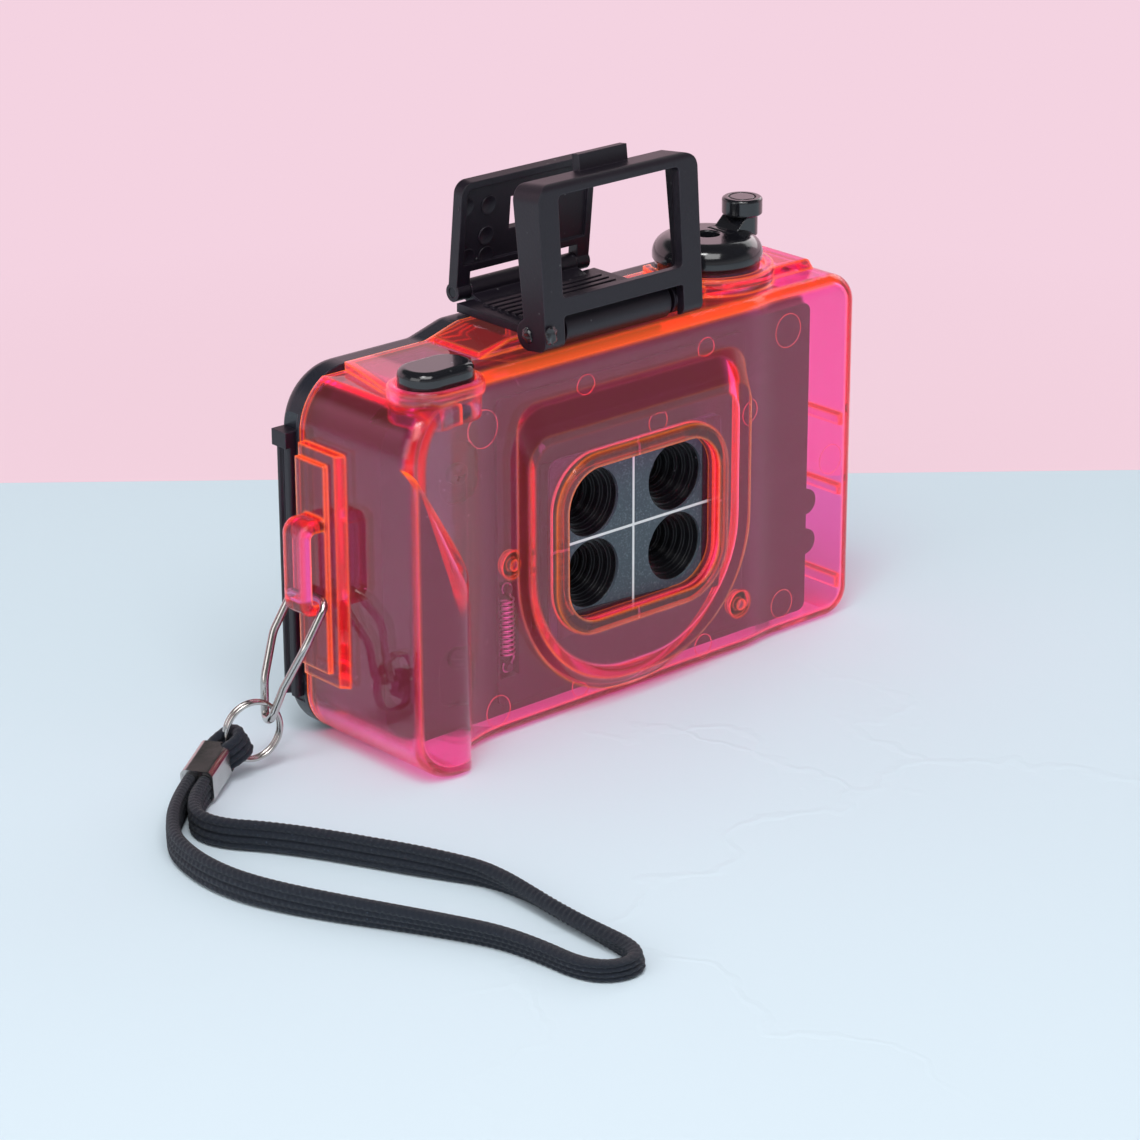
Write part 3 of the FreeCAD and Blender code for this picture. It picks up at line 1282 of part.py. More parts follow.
stations = coil_stations()
wire_edges = []
for (start, start_way), (end, end_way) in zip(stations, stations[1:]):
    wire_edges += biarc(start, start_way, end, end_way)
spring_feature = doc.addObject("Part::Feature", "return_spring")
spring_feature.Shape = tube("spring", wire_edges, ring_section(stations[0][0], stations[0][1],
                                                              num(s.spring_wire) / 2))
node("return_spring", spring_feature)
points = [edge.valueAt(edge.FirstParameter + (edge.LastParameter - edge.FirstParameter) * step / 6)
          for edge in wire_edges for step in range(6)]
coil_gap = min((a - b).Length for i, a in enumerate(points) for b in points[i + 14:]) - num(s.spring_wire)
print("Return spring: %d turns, least gap to itself %.2f mm" % (num(s.spring_turns), coil_gap))

# Wrist strap, lying to the front of the grip


def route_edges(name, corners, bend_limit, thick):
    """Straight runs through corner points, joined by tangent arcs as wide as the shorter run allows."""
    edges = []
    radii = []
    here = corners[0]
    for before, corner, after in zip(corners, corners[1:], corners[2:]):
        run_in = (corner - before).Length
        run_out = (after - corner).Length
        way_in = (corner - before).normalize()
        way_out = (after - corner).normalize()
        half_turn = way_in.getAngle(way_out) / 2
        radius = min(0.45 * min(run_in, run_out) / math.tan(half_turn), bend_limit)
        reach = radius * math.tan(half_turn)
        arc_start = corner - way_in * reach
        arc_end = corner + way_out * reach
        edges.append(Part.LineSegment(here, arc_start).toShape())
        edges.append(arc_from(arc_start, corner, arc_end))
        radii.append(radius)
        here = arc_end
    edges.append(Part.LineSegment(here, corners[-1]).toShape())
    length = sum(edge.Length for edge in edges)
    print("%s: %.1f mm long, tightest bend %.1f mm (%.1f times its thickness)"
          % (name, length, min(radii), min(radii) / thick))
    return edges, length


def strip_section(spot, way, up, wide, thick, corner):
    """A flat strap's section, square to its way, with rounded edges."""
    aside = up.cross(way).normalize()
    over = way.cross(aside).normalize()
    edges = []
    here = None
    for u, v in ((-1, -1), (1, -1), (1, 1), (-1, 1)):
        centre = spot + aside * (u * (thick / 2 - corner)) + over * (v * (wide / 2 - corner))
        first, last = (aside * u, over * v) if u * v > 0 else (over * v, aside * u)
        if here is not None:
            edges.append(Part.LineSegment(here, centre + first * corner).toShape())
        edges.append(Part.Arc(centre + first * corner, centre + (first + last).normalize() * corner,
                              centre + last * corner).toShape())
        here = centre + last * corner
    edges.append(Part.LineSegment(here, edges[0].firstVertex().Point).toShape())
    return Part.Wire(edges)


def strip(name, edges, up, section):
    """A flat strap along its route, kept on edge."""
    sweep = Part.BRepOffsetAPI.MakePipeShell(Part.Wire(edges))
    sweep.setBiNormalMode(up)
    sweep.add(section)
    sweep.build()
    sweep.makeSolid()
    feature = doc.addObject("Part::Feature", name)
    feature.Shape = sweep.shape()
    return feature


strap_wide = num(s.strap_width)
strap_thick = num(s.strap_thick)
strap_edge = 0.6
crimp_top = sheet_spot(-70.7, 17.3, -25.1)
crimp_end = sheet_spot(-78.3, 12.2, -26.1)
crimp_way = (crimp_end - crimp_top).normalize()
crimp_aside = Vector(0, 0, 1).cross(crimp_way).normalize()
crimp_up = crimp_way.cross(crimp_aside).normalize()
strand_gap = num(s.strap_thick) / 2 + 0.2
floor_level = num(-s.lens_height) + strap_wide / 2 + 0.05
loop_plan = [(-91.0, 4.0), (-95.2, -11.5), (-91.8, -26.5), (-77.6, -50.6), (-74.2, -59.5), (-73.0, -77.6),
             (-64.8, -77.6), (-64.0, -59.0), (-63.0, -40.5), (-68.2, -31.6), (-78.6, -10.5), (-86.6, -1.4),
             (-85.3, 6.0)]
loop_corners = [crimp_end - crimp_aside * strand_gap]
loop_corners += [sheet_spot(x, y, floor_level) for x, y in loop_plan]
loop_corners.append(crimp_end + crimp_aside * strand_gap)
loop_edges, loop_length = route_edges("Strap loop", loop_corners, 40, strap_thick)
loop_way = (loop_corners[1] - loop_corners[0]).normalize()
strap_loop = strip("strap_loop", loop_edges, Vector(0, 0, 1),
                   strip_section(loop_corners[0], loop_way, Vector(0, 0, 1), strap_wide, strap_thick, strap_edge))
node("strap_loop", strap_loop)

ring_centre = sheet_spot(-64.6, 16.3, -22.0)
ring_way = (ring_centre - crimp_top).normalize()
ring_facing = ring_way.cross(Vector(0, 0, 1)).normalize()
ring_up = ring_facing.cross(ring_way).normalize()
lead_plan = [(0, 1.2), (0.9, 1.9), (4.7, 1.9), (4.7, -1.9), (0.9, -1.9), (0, -1.2)]
lead_corners = [crimp_top + ring_way * u + ring_facing * v for u, v in lead_plan]
lead_edges, lead_length = route_edges("Strap lead", lead_corners, 40, strap_thick)
lead_way = (lead_corners[1] - lead_corners[0]).normalize()
strap_lead = strip("strap_lead", lead_edges, ring_up,
                   strip_section(lead_corners[0], lead_way, ring_up, strap_wide, strap_thick, strap_edge))
node("strap_lead", strap_lead)
crimp_box = doc.addObject("Part::Box", "crimp_box")
bind(crimp_box, "Length", (crimp_end - crimp_top).Length)
bind(crimp_box, "Width", s.strap_thick * 2 + 1.2)
bind(crimp_box, "Height", s.strap_width + 0.7)
crimp_turn = FreeCAD.Rotation(crimp_way, crimp_aside, crimp_up, "XYZ")
crimp_box.Placement = FreeCAD.Placement(
    crimp_top - crimp_aside * (strap_thick + 0.6) - crimp_up * (strap_wide + 0.7) / 2, crimp_turn)


def along_crimp(edge):
    return abs((edge.lastVertex().Point - edge.firstVertex().Point).normalize().dot(crimp_way)) > 0.99


node("strap_crimp", cut("crimp_mouths", rounded("crimp", crimp_box, 1.0, along_crimp), strap_lead, strap_loop))

split_ring = doc.addObject("Part::Torus", "ring")
bind(split_ring, "Radius1", s.ring_radius)
bind(split_ring, "Radius2", s.ring_wire / 2)
split_ring.Placement = FreeCAD.Placement(ring_centre, Rotation(Vector(0, 0, 1), ring_facing))
node("split_ring", split_ring)

clip_plan = [(-53.5, 15.2, -2.3), (-53.5, 11.0, -2.3), (-58.0, 10.8, -8.5), (-60.6, 13.4, -15.5),
             (-62.4, 14.4, -20.6), (-61.4, 17.2, -21.2), (-60.8, 17.8, -15.0), (-57.6, 19.4, -8.5),
             (-53.5, 19.2, -2.3), (-53.5, 15.7, -2.3)]
clip_corners = [sheet_spot(*spot) for spot in clip_plan]
clip_edges, clip_length = route_edges("Clip wire", clip_corners, 6, num(s.clip_wire))
clip = doc.addObject("Part::Feature", "clip")
clip.Shape = tube("clip_wire", clip_edges, ring_section(clip_corners[0], clip_corners[1] - clip_corners[0],
                                                       num(s.clip_wire) / 2))
node("clip_wire", clip)

# Checks of the whole, and one file for each piece

doc.recompute()
faults = [obj.Name for obj in doc.Objects if "Invalid" in obj.State or "Error" in obj.State]
faults += [name for name, obj in NODES.items() if obj.Shape.isNull() or not obj.Shape.isValid()]
faults += [name for name, obj in NODES.items() if len(obj.Shape.Solids) != 1]
if faults:
    raise ValueError("these pieces failed: " + ", ".join(faults))
os.makedirs("parts", exist_ok=True)
for name, obj in NODES.items():
    obj.Shape.exportStep("parts/%s.step" % name)
print("%d pieces" % len(NODES))
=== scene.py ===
# %% [markdown]
# # A clear-shelled camera with four lenses
# The object is a small film camera whose shell is moulded in clear fluorescent pink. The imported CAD
# model gives every rigid piece its shape and place. This lesson gives those pieces their finishes, and
# adds what a CAD model leaves out: braided cord, screws, mould marks, the split ring and the light.

# %% Load the frame
import math

import bmesh
import bpy
from mathutils import Matrix, Vector


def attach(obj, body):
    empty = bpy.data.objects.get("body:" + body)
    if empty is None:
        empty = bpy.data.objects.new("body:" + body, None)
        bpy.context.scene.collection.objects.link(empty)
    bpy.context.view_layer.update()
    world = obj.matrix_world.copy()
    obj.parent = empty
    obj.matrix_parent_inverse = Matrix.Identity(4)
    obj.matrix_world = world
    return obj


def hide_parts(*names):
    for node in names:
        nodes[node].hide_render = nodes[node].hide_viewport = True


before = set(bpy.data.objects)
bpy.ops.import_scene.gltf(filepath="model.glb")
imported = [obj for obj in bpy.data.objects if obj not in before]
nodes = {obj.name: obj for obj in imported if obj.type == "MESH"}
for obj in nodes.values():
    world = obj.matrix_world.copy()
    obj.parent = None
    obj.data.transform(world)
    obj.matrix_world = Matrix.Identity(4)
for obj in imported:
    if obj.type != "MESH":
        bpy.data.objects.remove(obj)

scene = bpy.context.scene
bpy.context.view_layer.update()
MM = 0.001
LENS_CENTRE = Vector((2.75, -11.0, 29.0)) * MM
print("CAD nodes:", len(nodes))


def spot(x, y, z):
    """A point given in millimetres from the lens centre, in the frame's metres."""
    return LENS_CENTRE + Vector((x, y, z)) * MM


# %% [markdown]
# ## Camera
# The picture was taken from above on the grip's side, with a long lens. Three angles and a place give
# the same view, and the focal length follows from how little the far end shrinks.

# %% Camera
VIEW_YAW, VIEW_DOWN, VIEW_ROLL = 41.71, 21.18, -0.17
VIEW_PLACE = Vector((-382.2, -427.7, 241.0)) * MM
VIEW_LENS = 120.06


def aim(yaw, down, roll):
    """A camera's turn: yaw to the right of +Y, then down, then roll, in degrees."""
    yaw, down, roll = math.radians(yaw), math.radians(down), math.radians(roll)
    ahead = Vector((math.sin(yaw) * math.cos(down), math.cos(yaw) * math.cos(down), -math.sin(down)))
    right = Vector((math.cos(yaw), -math.sin(yaw), 0))
    up = right.cross(ahead)
    right, up = right * math.cos(roll) + up * math.sin(roll), up * math.cos(roll) - right * math.sin(roll)
    return Matrix((right, up, -ahead)).transposed().to_euler()


bpy.ops.object.camera_add(location=VIEW_PLACE, rotation=aim(VIEW_YAW, VIEW_DOWN, VIEW_ROLL))
scene.camera = bpy.context.object
scene.camera.name = "view"
scene.camera.data.lens = VIEW_LENS
scene.camera.data.sensor_width = 36
scene.camera.data.clip_start = 0.01
scene.view_settings.view_transform = "Standard"
print("camera: %.1f mm lens, %.2f m away" % (VIEW_LENS, VIEW_PLACE.length))

# %% [markdown]
# ## Materials: small helpers
# A node tree is easier to read when each node is one line. `add` makes a node, sets its sockets by
# name and links what is given as a socket, so a tree can be written in the order in which it is thought.

# %% Node helpers: sockets and numbers


def feed(tree, socket, value):
    """Links a socket to another one, or sets it to a number or a colour."""
    if isinstance(value, bpy.types.NodeSocket):
        tree.links.new(value, socket)
    else:
        socket.default_value = value


def feed_by_name(tree, node, inputs):
    """Sets or links a node's inputs by name, with _ for each space."""
    for name, value in inputs.items():
        feed(tree, node.inputs[name.replace("_", " ")], value)
    return node


def add(tree, kind, **inputs):
    """A node of a kind, with its inputs set to numbers or linked to sockets by name."""
    return feed_by_name(tree, tree.nodes.new("ShaderNode" + kind), inputs)


def math_node(tree, operation, *values):
    """A math node on numbers or sockets."""
    node = tree.nodes.new("ShaderNodeMath")
    node.operation = operation
    for socket, value in zip(node.inputs, values):
        feed(tree, socket, value)
    return node.outputs[0]


def vector_size(tree, operation, *vectors):
    """A vector math node whose result is a number, such as a length or a dot product."""
    node = tree.nodes.new("ShaderNodeVectorMath")
    node.operation = operation
    for socket, vector in zip(node.inputs, vectors):
        feed(tree, socket, vector)
    return node.outputs["Value"]


# %% Node helpers: blends and ranges


def blend(tree, share, first, second):
    """One colour passing into another by a share."""
    node = tree.nodes.new("ShaderNodeMix")
    node.data_type = "RGBA"
    for index, value in ((0, share), (6, first), (7, second)):
        feed(tree, node.inputs[index], value)
    return node.outputs[2]


def mix_shaders(tree, share, first, second):
    """One shader passing into another by a share."""
    node = add(tree, "MixShader", Fac=share)
    tree.links.new(first.outputs[0], node.inputs[1])
    tree.links.new(second.outputs[0], node.inputs[2])
    return node


def ramp(tree, value, low, high, out_low=0.0, out_high=1.0):
    """A value spread from one range to another, held at the ends."""
    node = tree.nodes.new("ShaderNodeMapRange")
    for socket, number in zip(node.inputs[1:5], (low, high, out_low, out_high)):
        socket.default_value = number
    tree.links.new(value, node.inputs[0])
    return node.outputs[0]


# %% Node helpers: groups and materials


def group_tree(name, inputs, outputs):
    """A shader node group with named sockets, and its input and output nodes."""
    tree = bpy.data.node_groups.new(name, "ShaderNodeTree")
    for socket_name, kind, default in inputs:
        socket = tree.interface.new_socket(socket_name, in_out="INPUT", socket_type="NodeSocket" + kind)
        if default is not None:
            socket.default_value = default
    for socket_name, kind in outputs:
        tree.interface.new_socket(socket_name, in_out="OUTPUT", socket_type="NodeSocket" + kind)
    return tree, tree.nodes.new("NodeGroupInput"), tree.nodes.new("NodeGroupOutput")


def use_group(tree, group, **inputs):
    """A group placed in a material, with its own values."""
    node = tree.nodes.new("ShaderNodeGroup")
    node.node_tree = group
    return feed_by_name(tree, node, inputs)


def new_material(name):
    """An empty material, its tree and its output node."""
    material = bpy.data.materials.new(name)
    material.use_nodes = True
    material.node_tree.nodes.clear()
    return material, material.node_tree, material.node_tree.nodes.new("ShaderNodeOutputMaterial")


def scaled(colour, share):
    """A colour with its light scaled."""
    return [part * share for part in colour[:3]] + [1.0]


# %% [markdown]
# ## Two shared effects
# Every moulded surface has a fine unevenness from the steel it was shaped in, and every handled one
# has specks of dust and faint rubs. Both are groups, so that each material uses them at its own scale.

# %% Group: moulded skin
moulded, g_in, g_out = group_tree(
    "Moulded skin",
    [("Grain", "Float", 2500.0), ("Depth", "Float", 0.15), ("Rough", "Float", 0.4),
     ("Spread", "Float", 0.12), ("Edge", "Float", 0.3 * MM)],
    [("Roughness", "Float"), ("Normal", "Vector"), ("Edge wear", "Float")])
place = add(moulded, "TexCoord").outputs["Object"]
fine = add(moulded, "TexNoise", Vector=place, Scale=g_in.outputs["Grain"], Detail=3.0, Roughness=0.6)
broad = add(moulded, "TexNoise", Vector=place, Scale=90.0, Detail=4.0, Roughness=0.55)
eased = add(moulded, "Bevel", Radius=g_in.outputs["Edge"])
eased.samples = 4
bumped = add(moulded, "Bump", Strength=g_in.outputs["Depth"], Distance=0.1 * MM,
             Height=fine.outputs["Fac"], Normal=eased.outputs["Normal"])
spread = math_node(moulded, "MULTIPLY", math_node(moulded, "SUBTRACT", broad.outputs["Fac"], 0.5),
                   g_in.outputs["Spread"])
true_normal = add(moulded, "NewGeometry").outputs["Normal"]
worn = ramp(moulded, vector_size(moulded, "DOT_PRODUCT", eased.outputs["Normal"], true_normal), 0.995, 0.86)
moulded.links.new(math_node(moulded, "ADD", g_in.outputs["Rough"], spread), g_out.inputs["Roughness"])
moulded.links.new(bumped.outputs["Normal"], g_out.inputs["Normal"])
moulded.links.new(math_node(moulded, "MULTIPLY", worn, ramp(moulded, broad.outputs["Fac"], 0.35, 0.65)),
                  g_out.inputs["Edge wear"])
print("moulded skin nodes:", len(moulded.nodes))

# %% Group: dust and rubs
handled, g_in, g_out = group_tree(
    "Dust and rubs", [("Amount", "Float", 0.5), ("Scale", "Float", 1.0)],
    [("Dust", "Float"), ("Rubs", "Float")])
place = add(handled, "TexCoord").outputs["Object"]
dots = add(handled, "TexVoronoi", Vector=place, Randomness=1.0,
           Scale=math_node(handled, "MULTIPLY", g_in.outputs["Scale"], 420.0))
clouds = add(handled, "TexNoise", Vector=place, Scale=60.0, Detail=2.0)
specks = ramp(handled, dots.outputs["Distance"], 0.10, 0.04)
thinned = math_node(handled, "MULTIPLY", specks, ramp(handled, clouds.outputs["Fac"], 0.5, 0.62))
strokes = add(handled, "Mapping", Vector=place, Rotation=(0.5, 0.9, 0.35), Scale=(9.0, 340.0, 200.0))
lines = add(handled, "TexNoise", Vector=strokes.outputs["Vector"], Scale=1.0, Detail=2.0)
handled.links.new(math_node(handled, "MULTIPLY", thinned, g_in.outputs["Amount"]), g_out.inputs["Dust"])
handled.links.new(math_node(handled, "MULTIPLY", ramp(handled, lines.outputs["Fac"], 0.66, 0.72),
                            g_in.outputs["Amount"]), g_out.inputs["Rubs"])
print("dust and rubs nodes:", len(handled.nodes))

# %% [markdown]
# ## Where the shell's painted glow goes
# Fluorescent plastic shows its light where the wall ends or turns, and here that light is painted as
# emission. A Bevel node gives a rounded normal near each rim, and where that differs from the true one
# there is a rim. The painted glow is strongest where a long stretch of wall leads light to it, beside the
# lens surround and along the front of the deck, and weak on the soft swell of the grip. The deck behind the
# button has a painted pink glow. Soft boxes in the object's own space say where these places are.

# %% Group: rims for painted glow
painted_glow_rims, g_in, g_out = group_tree("Rims for painted glow", [("Reach", "Float", 0.7 * MM)],
                                     [("Edge", "Float"), ("Normal", "Vector")])
eased = add(painted_glow_rims, "Bevel", Radius=g_in.outputs["Reach"])
eased.samples = 4
turned = vector_size(painted_glow_rims, "DOT_PRODUCT", eased.outputs["Normal"],
                     add(painted_glow_rims, "NewGeometry").outputs["Normal"])
# Edge says where the painted rim glow goes; Normal rounds the rims for real reflections.
painted_glow_rims.links.new(ramp(painted_glow_rims, turned, 0.995, 0.80), g_out.inputs["Edge"])
painted_glow_rims.links.new(eased.outputs["Normal"], g_out.inputs["Normal"])
print("light at the rims nodes:", len(painted_glow_rims.nodes))

# %% Group: places of painted glow on the shell
# Boxes in millimetres from the lens centre where the painted glow is stronger, where it is quieter, and
# where the deck has its pink painted glow.
STRONG_PAINTED_GLOW = [((21.0, -12.0, -19.0), (29.5, -0.2, 29.5)), ((-31.0, -1.2, 29.6), (47.0, 2.6, 34.0))]
QUIET_PAINTED_GLOW = [((-49.0, -12.0, -31.0), (-21.5, -0.2, 27.5)), ((-47.0, -2.6, 27.0), (-30.0, 7.6, 34.5))]
DECK_PAINTED_GLOW = [((-47.0, 2.6, 30.6), (-36.5, 24.0, 34.5))]
SOFTNESS = 1.2 * MM


def soft_box(tree, place, low, high):
    """A mask that is 1 in a box and passes to 0 within a short way outside it."""
    axes = add(tree, "SeparateXYZ", Vector=place)
    mask = 1.0
    for socket, first, last in zip(axes.outputs, spot(*low), spot(*high)):
        mask = math_node(tree, "MULTIPLY", ramp(tree, socket, first - SOFTNESS, first), mask)
        mask = math_node(tree, "MULTIPLY", ramp(tree, socket, last + SOFTNESS, last), mask)
    return mask


def soft_boxes(tree, place, boxes):
    """The largest of several soft boxes."""
    mask = soft_box(tree, place, *boxes[0])
    for box in boxes[1:]:
        mask = math_node(tree, "MAXIMUM", mask, soft_box(tree, place, *box))
    return mask


shell_places, g_in, g_out = group_tree(
    "Places of the shell", [], [("Strong", "Float"), ("Quiet", "Float"), ("Deck", "Float")])
place = add(shell_places, "TexCoord").outputs["Object"]
for name, boxes in (("Quiet", QUIET_PAINTED_GLOW), ("Deck", DECK_PAINTED_GLOW)):
    shell_places.links.new(soft_boxes(shell_places, place, boxes), g_out.inputs[name])
facing = add(shell_places, "SeparateXYZ", Vector=add(shell_places, "NewGeometry").outputs["Normal"])
turned_away = ramp(shell_places, math_node(shell_places, "ABSOLUTE", facing.outputs["Y"]), 0.93, 0.75)
shell_places.links.new(math_node(shell_places, "MULTIPLY", turned_away,
                                 soft_boxes(shell_places, place, STRONG_PAINTED_GLOW)), g_out.inputs["Strong"])
print("groups:", len(bpy.data.node_groups))

# %% [markdown]
# ## The clear fluorescent shell
# Fluorescent plastic takes in light on its faces, turns it orange and leads it inside the wall to the
# edges, where it comes out. A plain pink glass has no glow, so that light is painted here as emission that
# does not follow the lamps.
# The wall takes up green and some blue along the way, both of its faces give a little painted orange glow,
# and the rims give much more of it, with an orange see-through tint. A shadow ray passes straight through,
# so that the lamps reach what is inside.

# %% Material: clear shell
# The four numbers say how many times a face or a rim has its painted glow at a strong place, the deck or a
# quiet place.
FACE_GLOW, RIM_GLOW = (1.0, 0.24, 0.16, 1.0), (1.0, 0.23, 0.03, 1.0)
DECK_GLOW = (1.0, 0.25, 0.30, 1.0)
STRONG_FACE, STRONG_RIM, DECK_FACE, QUIET_RIM = 6.0, 1.6, 5.5, 0.34
FACE_TINT, RIM_TINT = (1.0, 0.62, 0.92, 1.0), (1.0, 0.52, 0.20, 1.0)
SHADE_TINT = (0.97, 0.90, 0.93, 1.0)
WALL_COLOUR, WALL_DENSITY = (0.97, 0.02, 0.60, 1.0), 320.0


def clear_plastic(name, glow, edge_glow):
    """Clear fluorescent plastic with painted glow: emission on its faces by glow, and on its rims by
    edge_glow.
    """
    material, tree, out = new_material(name)
    wear = use_group(tree, handled, Amount=0.7, Scale=1.4)
    rims = use_group(tree, painted_glow_rims, Reach=0.9 * MM)
    place = add(tree, "TexCoord").outputs["Object"]
    waves = add(tree, "TexNoise", Vector=place, Scale=70.0, Detail=1.0)
    ripple = add(tree, "Bump", Strength=0.12, Distance=0.4 * MM, Height=waves.outputs["Fac"],
                 Normal=rims.outputs["Normal"])
    rough = math_node(tree, "ADD", math_node(tree, "MULTIPLY", wear.outputs["Rubs"], 0.16), 0.02)
    places = use_group(tree, shell_places)
    calm = ramp(tree, places.outputs["Quiet"], 0.0, 1.0, 1.0, QUIET_RIM)
    rim = math_node(tree, "MULTIPLY", rims.outputs["Edge"], calm)
    faces = blend(tree, places.outputs["Strong"], scaled(FACE_GLOW, glow),
                  scaled(RIM_GLOW, glow * STRONG_FACE))
    faces = blend(tree, places.outputs["Deck"], faces, scaled(DECK_GLOW, glow * DECK_FACE))
    glowing = blend(tree, places.outputs["Strong"], scaled(RIM_GLOW, edge_glow),
                    scaled(RIM_GLOW, edge_glow * STRONG_RIM))
    # Painted glow: fixed emission by place and rim, and an orange see-through tint at the rims.
    lit = blend(tree, rim, faces, glowing)
    tint = blend(tree, rim, FACE_TINT, RIM_TINT)
    body = add(tree, "BsdfPrincipled", Base_Color=tint, Roughness=rough, IOR=1.53,
               Transmission_Weight=1.0, Emission_Color=lit, Emission_Strength=1.0,
               Normal=ripple.outputs["Normal"])
    through = add(tree, "BsdfTransparent", Color=SHADE_TINT)
    surface = mix_shaders(tree, add(tree, "LightPath").outputs["Is Shadow Ray"], body, through)
    inside = add(tree, "VolumeAbsorption", Color=WALL_COLOUR, Density=WALL_DENSITY)
    tree.links.new(surface.outputs[0], out.inputs["Surface"])
    tree.links.new(inside.outputs[0], out.inputs["Volume"])
    material.cycles.emission_sampling = "NONE"
    return material


# Each clear plastic has its own painted glow: first on its faces, then at its rims.
shell_plastic = clear_plastic("Clear shell", 0.045, 0.55)
ridge_plastic = clear_plastic("Edge-lit ridge", 0.10, 0.30)
guide_plastic = clear_plastic("Guide plastic", 0.01, 0.10)
print("clear plastics:", shell_plastic.name, ridge_plastic.name, guide_plastic.name)

# %% [markdown]
# ## The blacks, the card and the metals
# The black parts come from one pellet but from differently polished moulds: the body and the finder are
# satin with a fine grain, the button and crank are polished. The card behind the window is printed board
# with light specks.

# %% Materials: blacks
DUST = (0.35, 0.35, 0.37, 1.0)
WORN_TIMES, WORN_PLUS = 3.2, 0.02


def black_plastic(name, colour, rough, grain, depth, coat=0.0, edge=0.3 * MM):
    """Black plastic with a fine grain, paler where an edge is worn, and a little dust."""
    material, tree, out = new_material(name)
    skin = use_group(tree, moulded, Grain=grain, Depth=depth, Rough=rough, Spread=0.16, Edge=edge)
    wear = use_group(tree, handled, Amount=0.5, Scale=1.0)
    pale = [part * WORN_TIMES + WORN_PLUS for part in colour[:3]] + [1.0]
    worn = blend(tree, skin.outputs["Edge wear"], colour, pale)
    dusty = blend(tree, wear.outputs["Dust"], worn, DUST)
    body = add(tree, "BsdfPrincipled", Base_Color=dusty, Roughness=skin.outputs["Roughness"], IOR=1.5,
               Coat_Weight=coat, Coat_Roughness=0.06, Normal=skin.outputs["Normal"])
    tree.links.new(body.outputs[0], out.inputs["Surface"])
    return material


satin_black = black_plastic("Satin black", (0.009, 0.006, 0.012, 1.0), 0.40, 2600.0, 0.30)
inner_black = black_plastic("Inner black", (0.014, 0.012, 0.015, 1.0), 0.36, 1800.0, 0.07)
baffle_black = black_plastic("Baffle black", (0.006, 0.006, 0.008, 1.0), 0.24, 3000.0, 0.08, edge=0.2 * MM)
gloss_black = black_plastic("Polished black", (0.009, 0.009, 0.012, 1.0), 0.16, 1400.0, 0.04, coat=0.5)
door_black = black_plastic("Door black", (0.014, 0.016, 0.024, 1.0), 0.27, 1600.0, 0.10)
print("materials:", len(bpy.data.materials))

# %% Material: card
CARD_DARK, CARD_PALE = (0.042, 0.062, 0.080, 1.0), (0.062, 0.088, 0.108, 1.0)
CARD_SPECK = (0.13, 0.17, 0.20, 1.0)


def speckled_card():
    """Blue-grey printed board with a cloudy tone and fine pale specks."""
    material, tree, out = new_material("Speckled card")
    place = add(tree, "TexCoord").outputs["Object"]
    dots = add(tree, "TexNoise", Vector=place, Scale=3400.0, Detail=2.0, Roughness=0.7)
    tone = add(tree, "TexNoise", Vector=place, Scale=120.0, Detail=3.0)
    ground = blend(tree, tone.outputs["Fac"], CARD_DARK, CARD_PALE)
    speckled = blend(tree, ramp(tree, dots.outputs["Fac"], 0.54, 0.70), ground, CARD_SPECK)
    tooth = add(tree, "Bump", Strength=0.25, Distance=0.1 * MM, Height=dots.outputs["Fac"])
    body = add(tree, "BsdfPrincipled", Base_Color=speckled, Roughness=0.62,
               Normal=tooth.outputs["Normal"])
    tree.links.new(body.outputs[0], out.inputs["Surface"])
    return material


card_board = speckled_card()
print("card nodes:", len(card_board.node_tree.nodes))

# %% Materials: lines, foam and metals


def plain_surface(name, colour, rough, grain, depth, metal=0.0, tint=None):
    """A surface with a fine grain and a slow change of tone, towards tint or a darker shade."""
    material, tree, out = new_material(name)
    place = add(tree, "TexCoord").outputs["Object"]
    fine = add(tree, "TexNoise", Vector=place, Scale=grain, Detail=2.0)
    broad = add(tree, "TexNoise", Vector=place, Scale=160.0, Detail=3.0)
    shade = blend(tree, broad.outputs["Fac"], colour, tint or scaled(colour, 0.82))
    bumped = add(tree, "Bump", Strength=depth, Distance=0.1 * MM, Height=fine.outputs["Fac"])
    body = add(tree, "BsdfPrincipled", Base_Color=shade, Metallic=metal, Normal=bumped.outputs["Normal"],
               Roughness=ramp(tree, broad.outputs["Fac"], 0.3, 0.7, rough - 0.05, rough + 0.07))
    tree.links.new(body.outputs[0], out.inputs["Surface"])
    return material


white_line = plain_surface("White line", (0.82, 0.84, 0.84, 1.0), 0.5, 2600.0, 0.2)
foam_black = plain_surface("Black foam", (0.02, 0.02, 0.022, 1.0), 0.85, 5200.0, 0.8)
bright_steel = plain_surface("Bright steel", (0.62, 0.60, 0.58, 1.0), 0.16, 900.0, 0.12, 1.0,
                             tint=(0.46, 0.43, 0.42, 1.0))
sheet_steel = plain_surface("Sheet steel", (0.50, 0.50, 0.52, 1.0), 0.32, 2200.0, 0.2, 1.0)
spring_steel = plain_surface("Spring steel", (0.88, 0.86, 0.84, 1.0), 0.36, 900.0, 0.1, 1.0)
dark_steel = plain_surface("Blackened steel", (0.06, 0.06, 0.065, 1.0), 0.36, 1800.0, 0.2, 1.0)
turned_brass = plain_surface("Turned brass", (0.72, 0.52, 0.24, 1.0), 0.28, 1500.0, 0.2, 1.0)
print("materials:", len(bpy.data.materials))

# %% Material: lens glass


def lens_glass():
    """Clear glass with a faint haze."""
    material, tree, out = new_material("Lens glass")
    place = add(tree, "TexCoord").outputs["Object"]
    haze = add(tree, "TexNoise", Vector=place, Scale=900.0, Detail=2.0)
    body = add(tree, "BsdfPrincipled", Base_Color=(0.92, 0.95, 1.0, 1.0), IOR=1.5,
               Transmission_Weight=1.0, Roughness=ramp(tree, haze.outputs["Fac"], 0.5, 0.8, 0.01, 0.06))
    tree.links.new(body.outputs[0], out.inputs["Surface"])
    return material


lens_clear = lens_glass()
print("materials:", len(bpy.data.materials))
